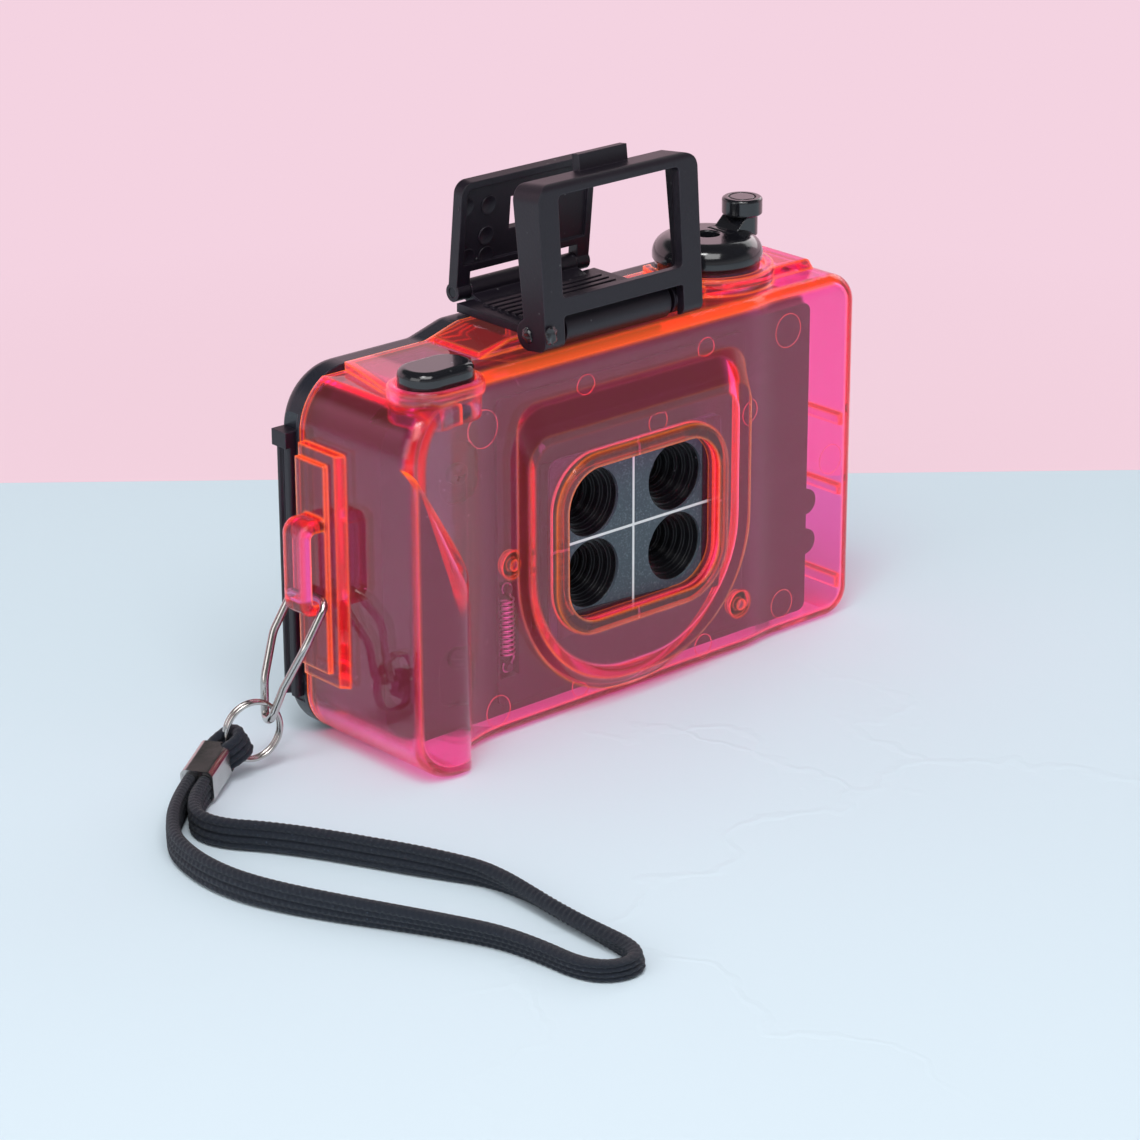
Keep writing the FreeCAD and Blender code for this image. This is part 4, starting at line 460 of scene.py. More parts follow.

# %% [markdown]
# ## Dress the CAD nodes
# A CAD node keeps its mesh. It only takes a material, in one slot.

# %% Finishes by node
FINISH = {
    "front_cover": shell_plastic, "inner_body": inner_black, "light_divider": inner_black,
    "lens_card": card_board, "card_lines": white_line, "baffle_block": baffle_black,
    "lens_1": lens_clear, "lens_2": lens_clear, "lens_3": lens_clear, "lens_4": lens_clear,
    "shutter_disc": sheet_steel, "shutter_pin": turned_brass, "return_spring": spring_steel,
    "shutter_button": gloss_black, "crank_hub": gloss_black, "crank_arm": gloss_black,
    "crank_pin": bright_steel, "crank_knob": gloss_black, "thumbwheel": satin_black,
    "advance_spindle": bright_steel, "take_up_spool": inner_black, "sprocket": inner_black,
    "finder_base": satin_black, "front_frame": satin_black, "front_frame_pin": dark_steel,
    "rear_frame": satin_black, "rear_frame_pin_1": dark_steel, "rear_frame_pin_2": dark_steel,
    "back_door": door_black, "hinge_pin": bright_steel, "pressure_plate": sheet_steel,
    "pressure_spring": bright_steel, "seal_left": foam_black, "seal_right": foam_black,
    "latch_bar": satin_black, "strap_loop": foam_black, "strap_lead": foam_black,
    "strap_crimp": bright_steel, "split_ring": bright_steel, "clip_wire": bright_steel,
}


def dress(piece, material):
    """Gives a piece one material."""
    piece.data.materials.clear()
    piece.data.materials.append(material)


for name, material in FINISH.items():
    dress(nodes[name], material)
print("nodes dressed:", len(FINISH))

# %% [markdown]
# ## The wrist strap
# The strap is a flat braid with four plaits side by side, folded back into a bright crimp. Its route is
# a smooth spline with listed control points, as it lies in the picture. A mesh tube follows
# that spline, and its section has the four plaits. Each plait swells and sinks along the cord in
# V-shaped stitches, which a texture alone could not show on the outline.

# %% Routes of the strap
STRAP_WIDE, STRAP_THICK = 4.8 * MM, 2.0 * MM
crimp_top, crimp_end = spot(-70.7, 17.3, -25.1), spot(-78.3, 12.2, -26.1)
crimp_way = (crimp_end - crimp_top).normalized()
crimp_aside = Vector((0, 0, 1)).cross(crimp_way).normalized()
strand_aside = STRAP_THICK / 2 + 0.2 * MM
LOOP_PLAN = [(-91.0, 4.0, -26.5), (-95.2, -11.5, -26.5), (-91.8, -26.5, -26.5), (-77.6, -50.6, -26.5),
             (-74.6, -59.0, -26.6), (-73.4, -72.4, -27.2), (-64.6, -74.0, -27.3), (-64.4, -59.4, -27.1),
             (-63.2, -41.4, -26.7), (-68.2, -31.6, -26.5), (-78.6, -10.5, -26.5), (-86.4, -1.0, -26.5),
             (-83.9, 6.8, -26.5)]
loop_route = [crimp_end - crimp_aside * strand_aside]
loop_route += [spot(*place) for place in LOOP_PLAN]
loop_route.append(crimp_end + crimp_aside * strand_aside)
ring_centre = spot(-64.6, 16.3, -22.0)
ring_way = (ring_centre - crimp_top).normalized()
ring_facing = ring_way.cross(Vector((0, 0, 1))).normalized()
ring_up = ring_facing.cross(ring_way).normalized()
LEAD_PLAN = [(0, 1.2), (0.9, 1.9), (4.7, 1.9), (4.7, -1.9), (0.9, -1.9), (0, -1.2)]
lead_route = [crimp_top + ring_way * (u * MM) + ring_facing * (v * MM) for u, v in LEAD_PLAN]
print("route points:", len(loop_route), len(lead_route))

# %% Lines through the routes


def spline_points(name, route):
    """The points of a smooth NURBS line that has the route as its control points."""
    curve = bpy.data.curves.new(name, "CURVE")
    curve.dimensions = "3D"
    curve.resolution_u = 24
    spline = curve.splines.new("NURBS")
    spline.points.add(len(route) - 1)
    for point, place in zip(spline.points, route):
        point.co = (*place, 1)
    spline.order_u = 3
    spline.use_endpoint_u = True
    holder = bpy.data.objects.new(name, curve)
    mesh = bpy.data.meshes.new_from_object(holder)
    points = [v.co.copy() for v in mesh.vertices]
    bpy.data.objects.remove(holder)
    bpy.data.meshes.remove(mesh)
    return points


def evenly(points, step):
    """The same line with its points a fixed step apart, and its length."""
    ends = [0.0]
    for first, second in zip(points, points[1:]):
        ends.append(ends[-1] + (second - first).length)
    count = max(2, round(ends[-1] / step))
    places, index = [], 0
    for number in range(count + 1):
        goal = ends[-1] * number / count
        while index < len(ends) - 2 and ends[index + 1] < goal:
            index += 1
        part = (goal - ends[index]) / max(1e-12, ends[index + 1] - ends[index])
        places.append(points[index].lerp(points[index + 1], min(1.0, max(0.0, part))))
    return places, ends[-1]


loop_points, loop_length = evenly(spline_points("loop_line", loop_route), 0.2 * MM)
lead_points, lead_length = evenly(spline_points("lead_line", lead_route), 0.12 * MM)
print("strap loop %.1f mm, lead %.1f mm" % (loop_length / MM, lead_length / MM))

# %% The braid's section
PLAITS = 4
STITCH = 1.05 * MM
AROUND = 28
PLAIT_GROOVE, PLAIT_ROUND, RIM_ROUND = 0.50, 0.65, 7
PLAIT_SWELL, RIM_SWELL, EDGE_SWELL = 0.06, 0.012, 0.010
STITCH_SLANT = 0.42


def plait_height(u):
    """Half the braid's thickness at u, from -1 to 1 across its width, as a share of the full one."""
    crown = abs(math.sin(math.pi * PLAITS / 2 * (u + 1)))
    height = PLAIT_GROOVE + (1 - PLAIT_GROOVE) * crown ** PLAIT_ROUND
    return height * (1 - abs(u) ** RIM_ROUND) ** 0.5


def section(place, over, side, wide, thick, along):
    """The braid's outline at one place, on both of its sides. along is the length so far."""
    across = [-math.cos(math.pi * k / AROUND) for k in range(AROUND + 1)]
    edge = 1 + EDGE_SWELL * math.cos(2 * math.pi * along / STITCH)
    ring = []
    for u, half in [(u, 1) for u in across] + [(u, -1) for u in across[-2:0:-1]]:
        lane = (u + 1) / 2 * PLAITS
        slant = abs((lane % 1.0) - 0.5) * 2
        stitch = math.cos(2 * math.pi * (along / STITCH + STITCH_SLANT * slant + 0.5 * (int(lane) % 2)))
        swell = 1 + PLAIT_SWELL * stitch * (1 - abs(u) ** 6) + RIM_SWELL * stitch
        depth = half * thick / 2 * plait_height(u) * swell
        ring.append(place + over * (u * wide / 2 * edge) + side * depth)
    return ring


# %% The braid's mesh
TEXTURE_ROUND = 13.0


def tube_faces(count, rings):
    """The quads between rings of count points each, and the two end faces."""
    faces = []
    for low in range(0, (rings - 1) * count, count):
        high = low + count
        for k in range(count):
            after = (k + 1) % count
            faces.append((low + k, low + after, high + after, high + k))
    faces.append(tuple(range(count))[::-1])
    faces.append(tuple(range((rings - 1) * count, rings * count)))
    return faces


def map_along(mesh, count, lengths):
    """A UV map that runs round the section and, in millimetres, along the cord."""
    layer = mesh.uv_layers.new(name="along")
    for face in mesh.polygons:
        corners = {loop: mesh.loops[loop].vertex_index for loop in face.loop_indices}
        closing = any(vertex % count == count - 1 for vertex in corners.values())
        for loop, vertex in corners.items():
            k = vertex % count
            if k == 0 and closing:
                k = count
            layer.data[loop].uv = (k / count * TEXTURE_ROUND, lengths[vertex // count] / MM)


def braid(name, points, over_at, size_at, material, floor=None):
    """A flat braid along points. over_at gives its width's way and size_at its width and thickness."""
    mesh_points, lengths, along = [], [], 0.0
    last = len(points) - 1
    for index, place in enumerate(points):
        before = points[max(index - 1, 0)]
        ahead = (points[min(index + 1, last)] - before).normalized()
        share = index / last
        side = over_at(share, ahead).cross(ahead).normalized()
        over = ahead.cross(side).normalized()
        along += (place - before).length
        ring = section(place, over, side, *size_at(share), along)
        if floor is not None:
            lift = floor - min(p.z for p in ring)
            ring = [p + Vector((0, 0, lift)) for p in ring]
        mesh_points += ring
        lengths.append(along)
    count = len(ring)
    mesh = bpy.data.meshes.new(name)
    mesh.from_pydata(mesh_points, [], tube_faces(count, len(points)))
    map_along(mesh, count, lengths)
    mesh.polygons.foreach_set("use_smooth", [True] * len(mesh.polygons))
    piece = bpy.data.objects.new(name, mesh)
    scene.collection.objects.link(piece)
    bm = bmesh.new()
    bm.from_mesh(mesh)
    bmesh.ops.recalc_face_normals(bm, faces=bm.faces)
    bm.to_mesh(mesh)
    bm.free()
    dress(piece, material)
    return piece


# %% Material: braided cord
THREAD_SLANT = 0.62
THREAD_DARK, THREAD_PALE = (0.002, 0.006, 0.016, 1.0), (0.013, 0.023, 0.046, 1.0)
FLUFF_COLOUR = (0.06, 0.085, 0.13, 1.0)


def braided_cord():
    """Black synthetic braid: fine threads that slant one way and the other, with a soft sheen, painted
    shade in the grooves and painted light on the crests.
    """
    material, tree, out = new_material("Braided cord")
    along = add(tree, "UVMap").outputs["UV"]
    slants = []
    for turn in (THREAD_SLANT, -THREAD_SLANT):
        turned = add(tree, "Mapping", Vector=along, Rotation=(0, 0, turn))
        threads = add(tree, "TexWave", Vector=turned.outputs["Vector"], Scale=2.6, Distortion=0.6,
                      Detail=1.0)
        slants.append(threads.outputs["Fac"])
    crossed = math_node(tree, "MULTIPLY", slants[0], slants[1])
    place = add(tree, "TexCoord").outputs["Object"]
    fluff = add(tree, "TexNoise", Vector=place, Scale=2600.0, Detail=3.0)
    height = math_node(tree, "ADD", crossed, math_node(tree, "MULTIPLY", fluff.outputs["Fac"], 0.8))
    relief = add(tree, "Bump", Strength=0.7, Distance=0.12 * MM, Height=height)
    # Painted shade and light: the colour is darker where the thread relief is low and paler where it is
    # high.
    shade = blend(tree, crossed, THREAD_DARK, THREAD_PALE)
    fuzzy = blend(tree, ramp(tree, fluff.outputs["Fac"], 0.66, 0.78), shade, FLUFF_COLOUR)
    body = add(tree, "BsdfPrincipled", Base_Color=fuzzy, Roughness=0.62, Sheen_Weight=0.12,
               Sheen_Roughness=0.4, Normal=relief.outputs["Normal"])
    tree.links.new(body.outputs[0], out.inputs["Surface"])
    return material


strap_cord = braided_cord()
print("cord material nodes:", len(strap_cord.node_tree.nodes))

# %% The strap's pieces
# Each lean has its angle in degrees, its middle and its reach, as shares of the loop's length.
LEANS = [(24, 0.36, 0.20), (-48, 0.62, 0.15)]
BEND_MIDDLE, BEND_REACH = 0.52, 0.26
BEND_NARROWER, BEND_THICKER = 0.36, 0.10
LEAD_NARROWER = 0.04


def hill(share, middle, reach):
    """A smooth hill of height 1 about a middle."""
    away = abs(share - middle) / reach
    return 0.0 if away >= 1 else 0.5 + 0.5 * math.cos(math.pi * away)


def loop_over(share, ahead):
    """The strap stands on edge, and leans before and after it turns back."""
    lean = sum(math.radians(angle) * hill(share, middle, reach) for angle, middle, reach in LEANS)
    right = ahead.cross(Vector((0, 0, 1))).normalized()
    return Vector((0, 0, 1)) * math.cos(lean) + right * math.sin(lean)


def loop_size(share):
    """The braid narrows and thickens where it is bent round."""
    bent = hill(share, BEND_MIDDLE, BEND_REACH)
    return STRAP_WIDE * (1 - BEND_NARROWER * bent), STRAP_THICK * (1 + BEND_THICKER * bent)


strap_loop = braid("braided_loop", loop_points, loop_over, loop_size, strap_cord, floor=0.05 * MM)
strap_lead = braid("braided_lead", lead_points, lambda share, ahead: ring_up,
                   lambda share: (STRAP_WIDE * (1 - LEAD_NARROWER), STRAP_THICK), strap_cord)
for piece, node in ((strap_loop, "strap_loop"), (strap_lead, "strap_lead")):
    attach(piece, "camera")
    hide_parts(node)
print("braid faces:", len(strap_loop.data.polygons), len(strap_lead.data.polygons))

# %% [markdown]
# ## Modelling helpers
# The small pieces below are modelled with Blender's own operators, as by hand. These helpers start with
# nothing selected, pick faces or edges by their place, and hand a finished piece to the frame.

# %% Helpers for shaping a piece


def only(piece):
    """Selects one piece and makes it the active one."""
    bpy.ops.object.select_all(action="DESELECT")
    piece.select_set(True)
    bpy.context.view_layer.objects.active = piece


def fresh(name):
    """The primitive that was just added, named, with its turn and place put in its mesh."""
    piece = bpy.context.object
    piece.name = name
    piece.data.name = name
    only(piece)
    bpy.ops.object.transform_apply(location=True, rotation=True, scale=True)
    return piece


def pick(piece, kind, test):
    """Enters edit mode with the faces or edges selected that pass a test."""
    only(piece)
    bpy.ops.object.mode_set(mode="EDIT")
    bpy.ops.mesh.select_all(action="DESELECT")
    bpy.ops.mesh.select_mode(type=kind)
    shape = bmesh.from_edit_mesh(piece.data)
    for part in (shape.faces if kind == "FACE" else shape.edges):
        part.select_set(bool(test(part)))
    bmesh.update_edit_mesh(piece.data)


def done():
    """Leaves edit mode."""
    bpy.ops.object.mode_set(mode="OBJECT")


# %% Helpers for finishing a piece


def hand_over(piece, material, body, angle=35):
    """Smooths a finished piece, dresses it and lets it ride on its body."""
    only(piece)
    bpy.ops.object.transform_apply(location=True, rotation=True, scale=True)
    bpy.ops.object.mode_set(mode="EDIT")
    bpy.ops.mesh.select_all(action="SELECT")
    bpy.ops.mesh.normals_make_consistent(inside=False)
    done()
    bpy.ops.object.shade_smooth_by_angle(angle=math.radians(angle))
    dress(piece, material)
    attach(piece, body)
    return piece


def join(pieces, name):
    """Joins finished parts into one piece."""
    only(pieces[0])
    for piece in pieces:
        piece.select_set(True)
    bpy.ops.object.join()
    pieces[0].name = name
    pieces[0].data.name = name
    return pieces[0]


# %% [markdown]
# ## The split ring
# A split ring is a flat coil of nearly two turns, so that a strap can be worked into it. The Screw
# modifier makes it as the wire is coiled: a round section turns about an axis, and moves on by a
# little more than one wire at each turn.

# %% Split ring
RING_RADIUS, RING_WIRE = 4.6 * MM, 0.72 * MM
RING_COIL, RING_START = 700, 35
RING_PITCH = 1.06
RING_STEPS = 168
UPRIGHT = (math.pi / 2, 0, 0)


def split_ring():
    """The coil of wire, with closed ends, put in its place on the clip."""
    bpy.ops.object.select_all(action="DESELECT")
    bpy.ops.mesh.primitive_circle_add(vertices=14, radius=RING_WIRE / 2, fill_type="NOTHING",
                                      location=(RING_RADIUS, 0, -RING_WIRE / 2), rotation=UPRIGHT)
    piece = fresh("ring_turns")
    coil = piece.modifiers.new("coil", "SCREW")
    coil.angle = math.radians(RING_COIL)
    coil.screw_offset = RING_WIRE * RING_PITCH * RING_COIL / 360
    coil.steps = RING_STEPS
    coil.render_steps = RING_STEPS
    coil.axis = "Z"
    coil.use_merge_vertices = False
    bpy.ops.object.modifier_apply(modifier=coil.name)
    pick(piece, "EDGE", lambda edge: edge.is_boundary)
    bpy.ops.mesh.edge_face_add()
    done()
    start = Matrix.Rotation(math.radians(RING_START), 4, "Z")
    turn = Matrix((ring_facing.cross(ring_up), ring_up, ring_facing)).transposed().to_4x4()
    piece.data.transform(Matrix.Translation(ring_centre) @ turn @ start)
    return piece


ring_turns = hand_over(split_ring(), bright_steel, "camera", 60)
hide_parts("split_ring")
print("ring faces:", len(ring_turns.data.polygons))

# %% [markdown]
# ## Mould marks on the shell
# Ejector pins push a moulded shell out of its mould, and each leaves a thin round ridge on the inside of
# the wall. In clear plastic those ridges catch the light as fine circles, helped by a painted glow on their
# rims. Each is a flat disc whose faces are inset and bridged, so that a thin ring is left, and each has its
# own radius.

# %% Ejector ridges
FRONT_INSIDE = 1.8
RIDGE_HIGH, RIDGE_WIDE, RIDGE_CLEAR = 0.12, 0.10, 0.01
RIDGES = [(-30.5, 22.8, 3.1), (6.2, 15.6, 2.0), (-9.2, 25.0, 1.9), (16.6, 25.6, 1.8),
          (35.5, 24.4, 2.9), (26.0, 12.8, 2.2), (16.6, -25.6, 1.9), (-10.4, -25.2, 1.9),
          (-27.9, -24.6, 2.6), (35.1, -23.4, 2.5), (46.0, -0.3, 2.6)]


def ridge(x, z, radius):
    """A thin round ridge that stands on the inside of the front wall."""
    bpy.ops.object.select_all(action="DESELECT")
    bpy.ops.mesh.primitive_cylinder_add(vertices=40, radius=radius * MM, depth=RIDGE_HIGH * MM,
                                        location=spot(x, FRONT_INSIDE + RIDGE_HIGH / 2 + RIDGE_CLEAR, z),
                                        rotation=UPRIGHT)
    piece = fresh("ridge")
    pick(piece, "FACE", lambda face: abs(face.normal.y) > 0.9)
    bpy.ops.mesh.inset(thickness=RIDGE_WIDE * MM)
    bpy.ops.mesh.bridge_edge_loops()
    done()
    return piece


marks = join([ridge(*place) for place in RIDGES], "ejector_ridges")
hand_over(marks, ridge_plastic, "camera", 50)
print("ridge faces:", len(marks.data.polygons))

# %% [markdown]
# ## Screws in the chassis
# Two screws hold the chassis from the front and are seen through the shell in their oblong recesses. A
# pan head is a disc with a rounded rim, and its cross is cut with a boolean, as a punch would press it.

# %% Screws
SCREWS = [(-33.4, 15.6), (-34.0, -14.5)]
SCREW_SEAT = 4.6
HEAD_RADIUS, HEAD_HIGH, HEAD_ROUND = 1.75, 0.9, 0.42
CROSS_LONG, CROSS_DEEP, CROSS_WIDE = HEAD_RADIUS * 1.25, 0.9, 0.45
CROSS_TURNS = (20, 110)
TINY = 1e-6


def screw(x, z):
    """A pan head with a punched cross. The cutters reach in by half their depth."""
    centre = spot(x, SCREW_SEAT - HEAD_HIGH / 2, z)
    bpy.ops.object.select_all(action="DESELECT")
    bpy.ops.mesh.primitive_cylinder_add(vertices=40, radius=HEAD_RADIUS * MM, depth=HEAD_HIGH * MM,
                                        location=centre, rotation=UPRIGHT)
    piece = fresh("screw")
    front = centre.y - HEAD_HIGH / 2 * MM
    pick(piece, "EDGE",
         lambda e: all(v.co.y < front + TINY for v in e.verts) and e.calc_face_angle(0) > 1)
    bpy.ops.mesh.bevel(offset=HEAD_ROUND * MM, segments=4)
    done()
    for turn in CROSS_TURNS:
        bpy.ops.object.select_all(action="DESELECT")
        bpy.ops.mesh.primitive_cube_add(size=1, location=Vector((centre.x, front, centre.z)),
                                        rotation=(0, math.radians(turn), 0),
                                        scale=(CROSS_LONG * MM, CROSS_DEEP * MM, CROSS_WIDE * MM))
        cutter = fresh("cutter")
        only(piece)
        carve = piece.modifiers.new("cross", "BOOLEAN")
        carve.object = cutter
        carve.operation = "DIFFERENCE"
        bpy.ops.object.modifier_apply(modifier=carve.name)
        bpy.data.objects.remove(cutter)
    return piece


screws = join([screw(*place) for place in SCREWS], "chassis_screws")
hand_over(screws, dark_steel, "camera", 30)
print("screw faces:", len(screws.data.polygons))

# %% [markdown]
# ## Marks on the rear finder frame
# The rear frame has five round ejector marks on the side that faces the front one. Each is a low disc
# whose face is inset and pressed in, so that a rim is left. They are made for an upright frame and then
# leaned back with it.

# %% Ejector marks on the rear frame
REAR_MARKS = [(-12.5, 14.3), (-7.9, 13.8), (-8.1, 8.7), (-11.7, 5.6), (-7.9, 5.3)]
REAR_FACE = -0.5
REAR_LEAN = math.radians(6.0)
MARK_RADIUS, MARK_RISE, MARK_RIM, MARK_EASE = 1.55, 0.22, 0.32, 0.05
MARK_DISH = MARK_RISE * 0.8
rear_axis = spot(-1.4, 25.7, 35.8)


def rear_mark(x, height):
    """A raised ring on the face of the rear frame, before the frame leans."""
    bpy.ops.object.select_all(action="DESELECT")
    bpy.ops.mesh.primitive_cylinder_add(vertices=36, radius=MARK_RADIUS * MM, depth=MARK_RISE * 2 * MM,
                                        location=rear_axis + Vector((x, REAR_FACE, height)) * MM,
                                        rotation=UPRIGHT)
    piece = fresh("rear_mark")
    pick(piece, "FACE", lambda face: face.normal.y < -0.9)
    bpy.ops.mesh.inset(thickness=MARK_RIM * MM)
    bpy.ops.transform.translate(value=(0, MARK_DISH * MM, 0))
    done()
    pick(piece, "EDGE", lambda edge: edge.calc_face_angle(0) > 0.6)
    bpy.ops.mesh.bevel(offset=MARK_EASE * MM, segments=2)
    done()
    return piece


rear_marks = join([rear_mark(*place) for place in REAR_MARKS], "rear_frame_marks")
leaning = Matrix.Translation(rear_axis) @ Matrix.Rotation(REAR_LEAN, 4, "X")
rear_marks.data.transform(leaning @ Matrix.Translation(-rear_axis))
hand_over(rear_marks, satin_black, "rear_frame", 40)
print("rear marks at", [round(v / MM, 1) for v in rear_marks.data.vertices[0].co])

# %% [markdown]
# ## Painted shade beside the card
# The card is cut a little short. Below it and to its right a narrow band lies in shade, and only the white
# cross runs on over it. Thin dark bars on the card's face paint that shade. Each band is a thin bar; the
# lower ones get a slanted edge by moving their top corners in edit mode.

# %% Painted shade bands beside the card
# Each band has its left, right, low and high side, and how far its two top corners are lifted.
LINE_HALF = 0.32
BANDS = {
    "below_left": (-17.0, -LINE_HALF, -14.9, -12.2, 0.95, 0.02),
    "below_right": (LINE_HALF, 18.0, -14.9, -12.3, 0.02, -1.2),
    "right_low": (15.0, 18.0, -14.9, -LINE_HALF, 0.0, 0.0),
    "right_high": (15.0, 18.0, LINE_HALF, 14.6, 0.0, 0.0),
}
BAND_MIDDLE, BAND_DEEP, BAND_EASE = -0.07, 0.1, 0.03


def band(left, right, low, high, lift_left, lift_right):
    """A thin dark bar of painted shade on the card's face, whose top corners are lifted by their own
    amounts.
    """
    bpy.ops.object.select_all(action="DESELECT")
    bpy.ops.mesh.primitive_cube_add(size=1, scale=((right - left) * MM, BAND_DEEP * MM, (high - low) * MM),
                                    location=spot((left + right) / 2, BAND_MIDDLE, (low + high) / 2))
    piece = fresh("band")
    top = spot(0, 0, high).z
    for side, lift in ((spot(left, 0, 0).x, lift_left), (spot(right, 0, 0).x, lift_right)):
        if lift:
            pick(piece, "EDGE", lambda e: all(abs(v.co.x - side) < TINY and v.co.z > top - TINY
                                              for v in e.verts))
            bpy.ops.transform.translate(value=(0, 0, lift * MM))
            done()
    front = spot(0, BAND_MIDDLE, 0).y
    pick(piece, "EDGE", lambda e: all(v.co.y < front for v in e.verts))
    bpy.ops.mesh.bevel(offset=BAND_EASE * MM, segments=2)
    done()
    return piece


# A dark glossy colour that paints the shade beside the card.
well_shade = plain_surface("Shaded chassis", (0.022, 0.006, 0.012, 1.0), 0.22, 1500.0, 0.1)
card_bands = join([band(*sizes) for sizes in BANDS.values()], "card_bands")
hand_over(card_bands, well_shade, "camera")
print("band faces:", len(card_bands.data.polygons))

# %% [markdown]
# ## Guide round the button
# The shell steps down round the button in three rings, which also close the corner of the front wall
# under it. Each step is a bar with round ends: a cylinder whose two halves are moved apart in edit mode,
# then inset and bridged so that it becomes a wall round the button's way.

# %% Button guide
# Each step has its low and high end, and its wall's thickness.
BUTTON_SPOT, BUTTON_LONG, BUTTON_DEEP = (-38.4, 2.3), 12.6, 8.4
GUIDE_CLEAR, GUIDE_EASE = 0.32, 0.18
GUIDE_STEPS = [(31.2, 32.2, 1.05), (29.9, 31.2, 1.3), (26.2, 29.9, 0.75)]


def guide_step(low, high, wall):
    """One step of the guide: a wall round the button's hole, between two heights."""
    deep = BUTTON_DEEP / 2 + GUIDE_CLEAR + wall
    apart = (BUTTON_LONG - BUTTON_DEEP) / 2
    bpy.ops.object.select_all(action="DESELECT")
    bpy.ops.mesh.primitive_cylinder_add(vertices=48, radius=deep * MM, depth=(high - low) * MM,
                                        location=spot(*BUTTON_SPOT, (low + high) / 2))
    piece = fresh("guide_step")
    middle = spot(*BUTTON_SPOT, 0).x
    for side in (-1, 1):
        pick(piece, "EDGE", lambda e: all((v.co.x - middle) * side > TINY for v in e.verts))
        bpy.ops.transform.translate(value=(side * apart * MM, 0, 0))
        done()
    pick(piece, "FACE", lambda face: abs(face.normal.z) > 0.9)
    bpy.ops.mesh.inset(thickness=wall * MM)
    bpy.ops.mesh.bridge_edge_loops()
    done()
    ends = [spot(0, 0, low).z, spot(0, 0, high).z]
    pick(piece, "EDGE", lambda e: any(all(abs(v.co.z - z) < TINY for v in e.verts) for z in ends)
         and e.calc_face_angle(0) > 1)
    bpy.ops.mesh.bevel(offset=GUIDE_EASE * MM, segments=2)
    done()
    return piece


guide = join([guide_step(*step) for step in GUIDE_STEPS], "button_guide")
hand_over(guide, guide_plastic, "camera", 50)
print("guide faces:", len(guide.data.polygons))

# %% [markdown]
# ## Staked end of the front frame's pin
# The pin of the front frame was closed with a hot tool, which left a rough, shiny lump on the foot and
# another on its side. A sphere is flattened, and a Displace modifier with a cloud texture makes it uneven.

# %% Staked end
LUMPS = [((-17.0, 0.25, 35.0), (1.35, 0.45, 1.6)), ((-18.1, 4.6, 34.3), (0.4, 1.25, 1.25))]
LUMP_GRAIN, LUMP_RISE, LUMP_LEVEL = 0.9, 0.75, 0.62
clouds = bpy.data.textures.new("lumps", "CLOUDS")
clouds.noise_scale = LUMP_GRAIN * MM
clouds.noise_depth = 2


def lump(place, half_sizes):
    """A flattened, uneven ball of melted plastic."""
    bpy.ops.object.select_all(action="DESELECT")
    bpy.ops.mesh.primitive_uv_sphere_add(segments=32, ring_count=20, radius=1 * MM,
                                         location=spot(*place), scale=half_sizes)
    piece = fresh("lump")
    uneven = piece.modifiers.new("uneven", "DISPLACE")
    uneven.texture = clouds
    uneven.texture_coords = "LOCAL"
    uneven.strength = LUMP_RISE * MM
    uneven.mid_level = LUMP_LEVEL
    bpy.ops.object.modifier_apply(modifier=uneven.name)
    return piece


stake = join([lump(*sizes) for sizes in LUMPS], "staked_pin")
hand_over(stake, gloss_black, "front_frame", 60)
print("stake faces:", len(stake.data.polygons))

# %% [markdown]
# ## Floor and backdrop
# The camera stands on pale blue board, and pale pink board begins behind it. Both lie flat, so nothing
# stands in the way of a view from behind or of the opened back. One material paints both: the side of
# the seam on which a point lies gives its colour. Seen from the camera, the board passes into its own
# plain colour further away, which the sky takes up, so that other views have no dark horizon.

# %% Material: painted board
BOARD_BLUE, BOARD_PINK = (0.70, 0.81, 0.89, 1.0), (0.98, 0.69, 0.78, 1.0)
FAR_BLUE, FAR_PINK = (0.66, 0.78, 0.87, 1.0), (0.905, 0.65, 0.755, 1.0)
BLACK = (0.0, 0.0, 0.0, 1.0)
SEAM_LEFT, SEAM_RIGHT = Vector((-17.4, 141.6, 0)) * MM, Vector((145.6, 3.5, 0)) * MM
SEAM_SIDE = (SEAM_RIGHT - SEAM_LEFT).normalized().cross(Vector((0, 0, -1)))
SEAM_SOFT = 0.2 * MM
BLUE_FADES, PINK_FADES = (0.30, 0.85), (0.03, 0.26)


def behind_seam(tree, place, offset, soft):
    """A mask that is 1 for a place or a direction on the pink side of the seam."""
    return ramp(tree, vector_size(tree, "DOT_PRODUCT", place, SEAM_SIDE), offset, offset + soft)


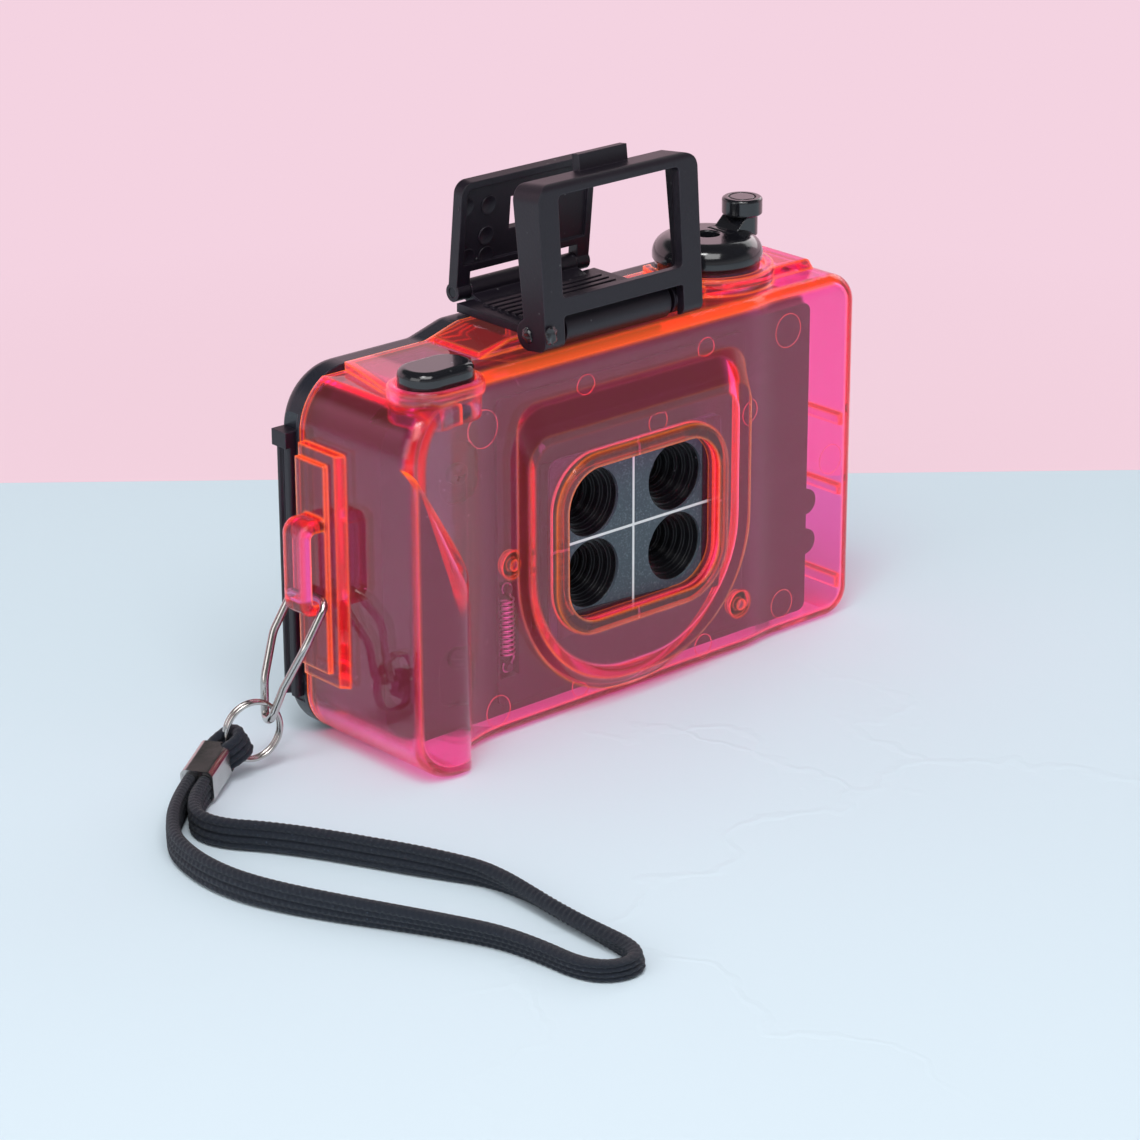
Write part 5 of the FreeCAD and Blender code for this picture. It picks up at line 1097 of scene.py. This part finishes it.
def painted_board():
    """Matt board in two colours, with a fine tooth and a few faint creases."""
    material, tree, out = new_material("Painted board")
    place = add(tree, "TexCoord").outputs["Object"]
    pink = behind_seam(tree, place, SEAM_SIDE.dot(SEAM_LEFT), SEAM_SOFT)
    tooth = add(tree, "TexNoise", Vector=place, Scale=700.0, Detail=3.0)
    cloud = add(tree, "TexNoise", Vector=place, Scale=5.0, Detail=2.0)
    colour = blend(tree, pink, BOARD_BLUE, BOARD_PINK)
    shade = blend(tree, math_node(tree, "MULTIPLY", cloud.outputs["Fac"], 0.03), colour, BLACK)
    bump = add(tree, "Bump", Strength=0.1, Distance=0.2 * MM, Height=tooth.outputs["Fac"])
    drift = add(tree, "TexNoise", Vector=place, Scale=26.0, Detail=4.0)
    cells = add(tree, "TexVoronoi", Vector=blend(tree, 0.06, place, drift.outputs["Color"]), Scale=8.5)
    cells.feature = "DISTANCE_TO_EDGE"
    crease = math_node(tree, "MULTIPLY", ramp(tree, cells.outputs["Distance"], 0.012, 0.0),
                       ramp(tree, cloud.outputs["Fac"], 0.50, 0.62))
    creased = add(tree, "Bump", Strength=0.25, Distance=0.4 * MM, Height=crease,
                  Normal=bump.outputs["Normal"])
    board = add(tree, "BsdfPrincipled", Base_Color=shade, Roughness=0.85, Specular_IOR_Level=0.15,
                Normal=creased.outputs["Normal"])
    away = vector_size(tree, "LENGTH", place)
    far_pink = math_node(tree, "MULTIPLY", ramp(tree, away, *PINK_FADES), pink)
    far = math_node(tree, "MULTIPLY", math_node(tree, "MAXIMUM", ramp(tree, away, *BLUE_FADES), far_pink),
                    add(tree, "LightPath").outputs["Is Camera Ray"])
    plain = add(tree, "Emission", Color=blend(tree, pink, FAR_BLUE, FAR_PINK), Strength=1.0)
    tree.links.new(mix_shaders(tree, far, board, plain).outputs[0], out.inputs["Surface"])
    return material


# %% Floor
FLOOR_WIDE = 6.0
bpy.ops.object.select_all(action="DESELECT")
bpy.ops.mesh.primitive_plane_add(size=FLOOR_WIDE)
floor = fresh("floor")
dress(floor, painted_board())
print("floor: %.1f m wide" % floor.dimensions.x)

# %% [markdown]
# ## Lamps
# A large softbox, high up in front on the grip's side, is the main light, and a small one beside it
# gives the bright glints. Two more, lower down at the left and the right, light the ends of the shell.

# %% Lamps
SUBJECT = Vector((0.0, 0.0, 0.03))


def soft_lamp(name, way, distance, size, power):
    """A rectangular softbox that hangs in a direction from the subject and looks at it."""
    way = Vector(way).normalized()
    bpy.ops.object.light_add(type="AREA", location=SUBJECT + way * distance)
    lamp = bpy.context.object
    lamp.name = name
    lamp.rotation_euler = (-way).to_track_quat("-Z", "Y").to_euler()
    lamp.data.shape = "RECTANGLE"
    lamp.data.size, lamp.data.size_y = size
    lamp.data.energy = power


soft_lamp("key", (-0.36, -0.47, 0.81), 0.9, (0.62, 0.50), 3.9)
soft_lamp("glint", (-0.29, -0.215, 0.914), 1.0, (0.17, 0.17), 1.3)
soft_lamp("left", (-0.95, -0.10, 0.40), 1.0, (0.7, 0.6), 2.2)
soft_lamp("right", (0.90, 0.25, 0.45), 1.0, (0.6, 0.5), 1.4)
print("lamps:", len(bpy.data.lights))

# %% [markdown]
# ## Sky
# The sky gives an even light. In a mirror-like surface it is darker high up, as a studio's ceiling is,
# and pink low down behind the seam, as a pink backdrop would be. Seen directly it has the board's
# far colours.

# %% Sky
SKY_STRENGTH, BACKDROP_STRENGTH = 0.44, 0.95
SKY_COLOUR = (0.97, 0.98, 1.0, 1.0)
CEILING_DARK = 0.85
sky = bpy.data.worlds.new("sky")
scene.world = sky
sky.use_nodes = True
air = sky.node_tree
rays = add(air, "LightPath")
way = add(air, "TexCoord").outputs["Generated"]
up = add(air, "SeparateXYZ", Vector=way).outputs["Z"]
ceiling = ramp(air, up, 0.12, 0.45, 0.0, CEILING_DARK)
open_sky = math_node(air, "MULTIPLY", math_node(air, "SUBTRACT", 1.0, ceiling), SKY_STRENGTH)
backdrop = math_node(air, "MULTIPLY", behind_seam(air, way, 0.05, 0.2), ramp(air, up, 0.55, 0.40))
backdrop_light = math_node(air, "MULTIPLY", backdrop, BACKDROP_STRENGTH)
mirrored = add(air, "Background", Color=blend(air, backdrop, SKY_COLOUR, BOARD_PINK),
               Strength=math_node(air, "MAXIMUM", open_sky, backdrop_light))
plain_light = add(air, "Background", Color=SKY_COLOUR, Strength=SKY_STRENGTH)
far_side = behind_seam(air, way, -0.02, 0.04)
horizon = add(air, "Background", Color=blend(air, far_side, FAR_BLUE, FAR_PINK), Strength=1.0)
lit_air = mix_shaders(air, rays.outputs["Is Glossy Ray"], plain_light, mirrored)
seen_air = mix_shaders(air, rays.outputs["Is Camera Ray"], lit_air, horizon)
air.links.new(seen_air.outputs[0], air.nodes["World Output"].inputs["Surface"])
print("sky nodes:", len(air.nodes))

# %% [markdown]
# ## Light bounces
# A ray that passes through the shell meets a wall twice at each layer, and goes round inside the rims.
# With few bounces those places turn black, so the limits are raised.

# %% Light bounces
scene.cycles.glossy_bounces = 12
scene.cycles.transmission_bounces = 16
scene.cycles.max_bounces = 20
scene.cycles.transparent_max_bounces = 24
print("bounces:", scene.cycles.max_bounces)
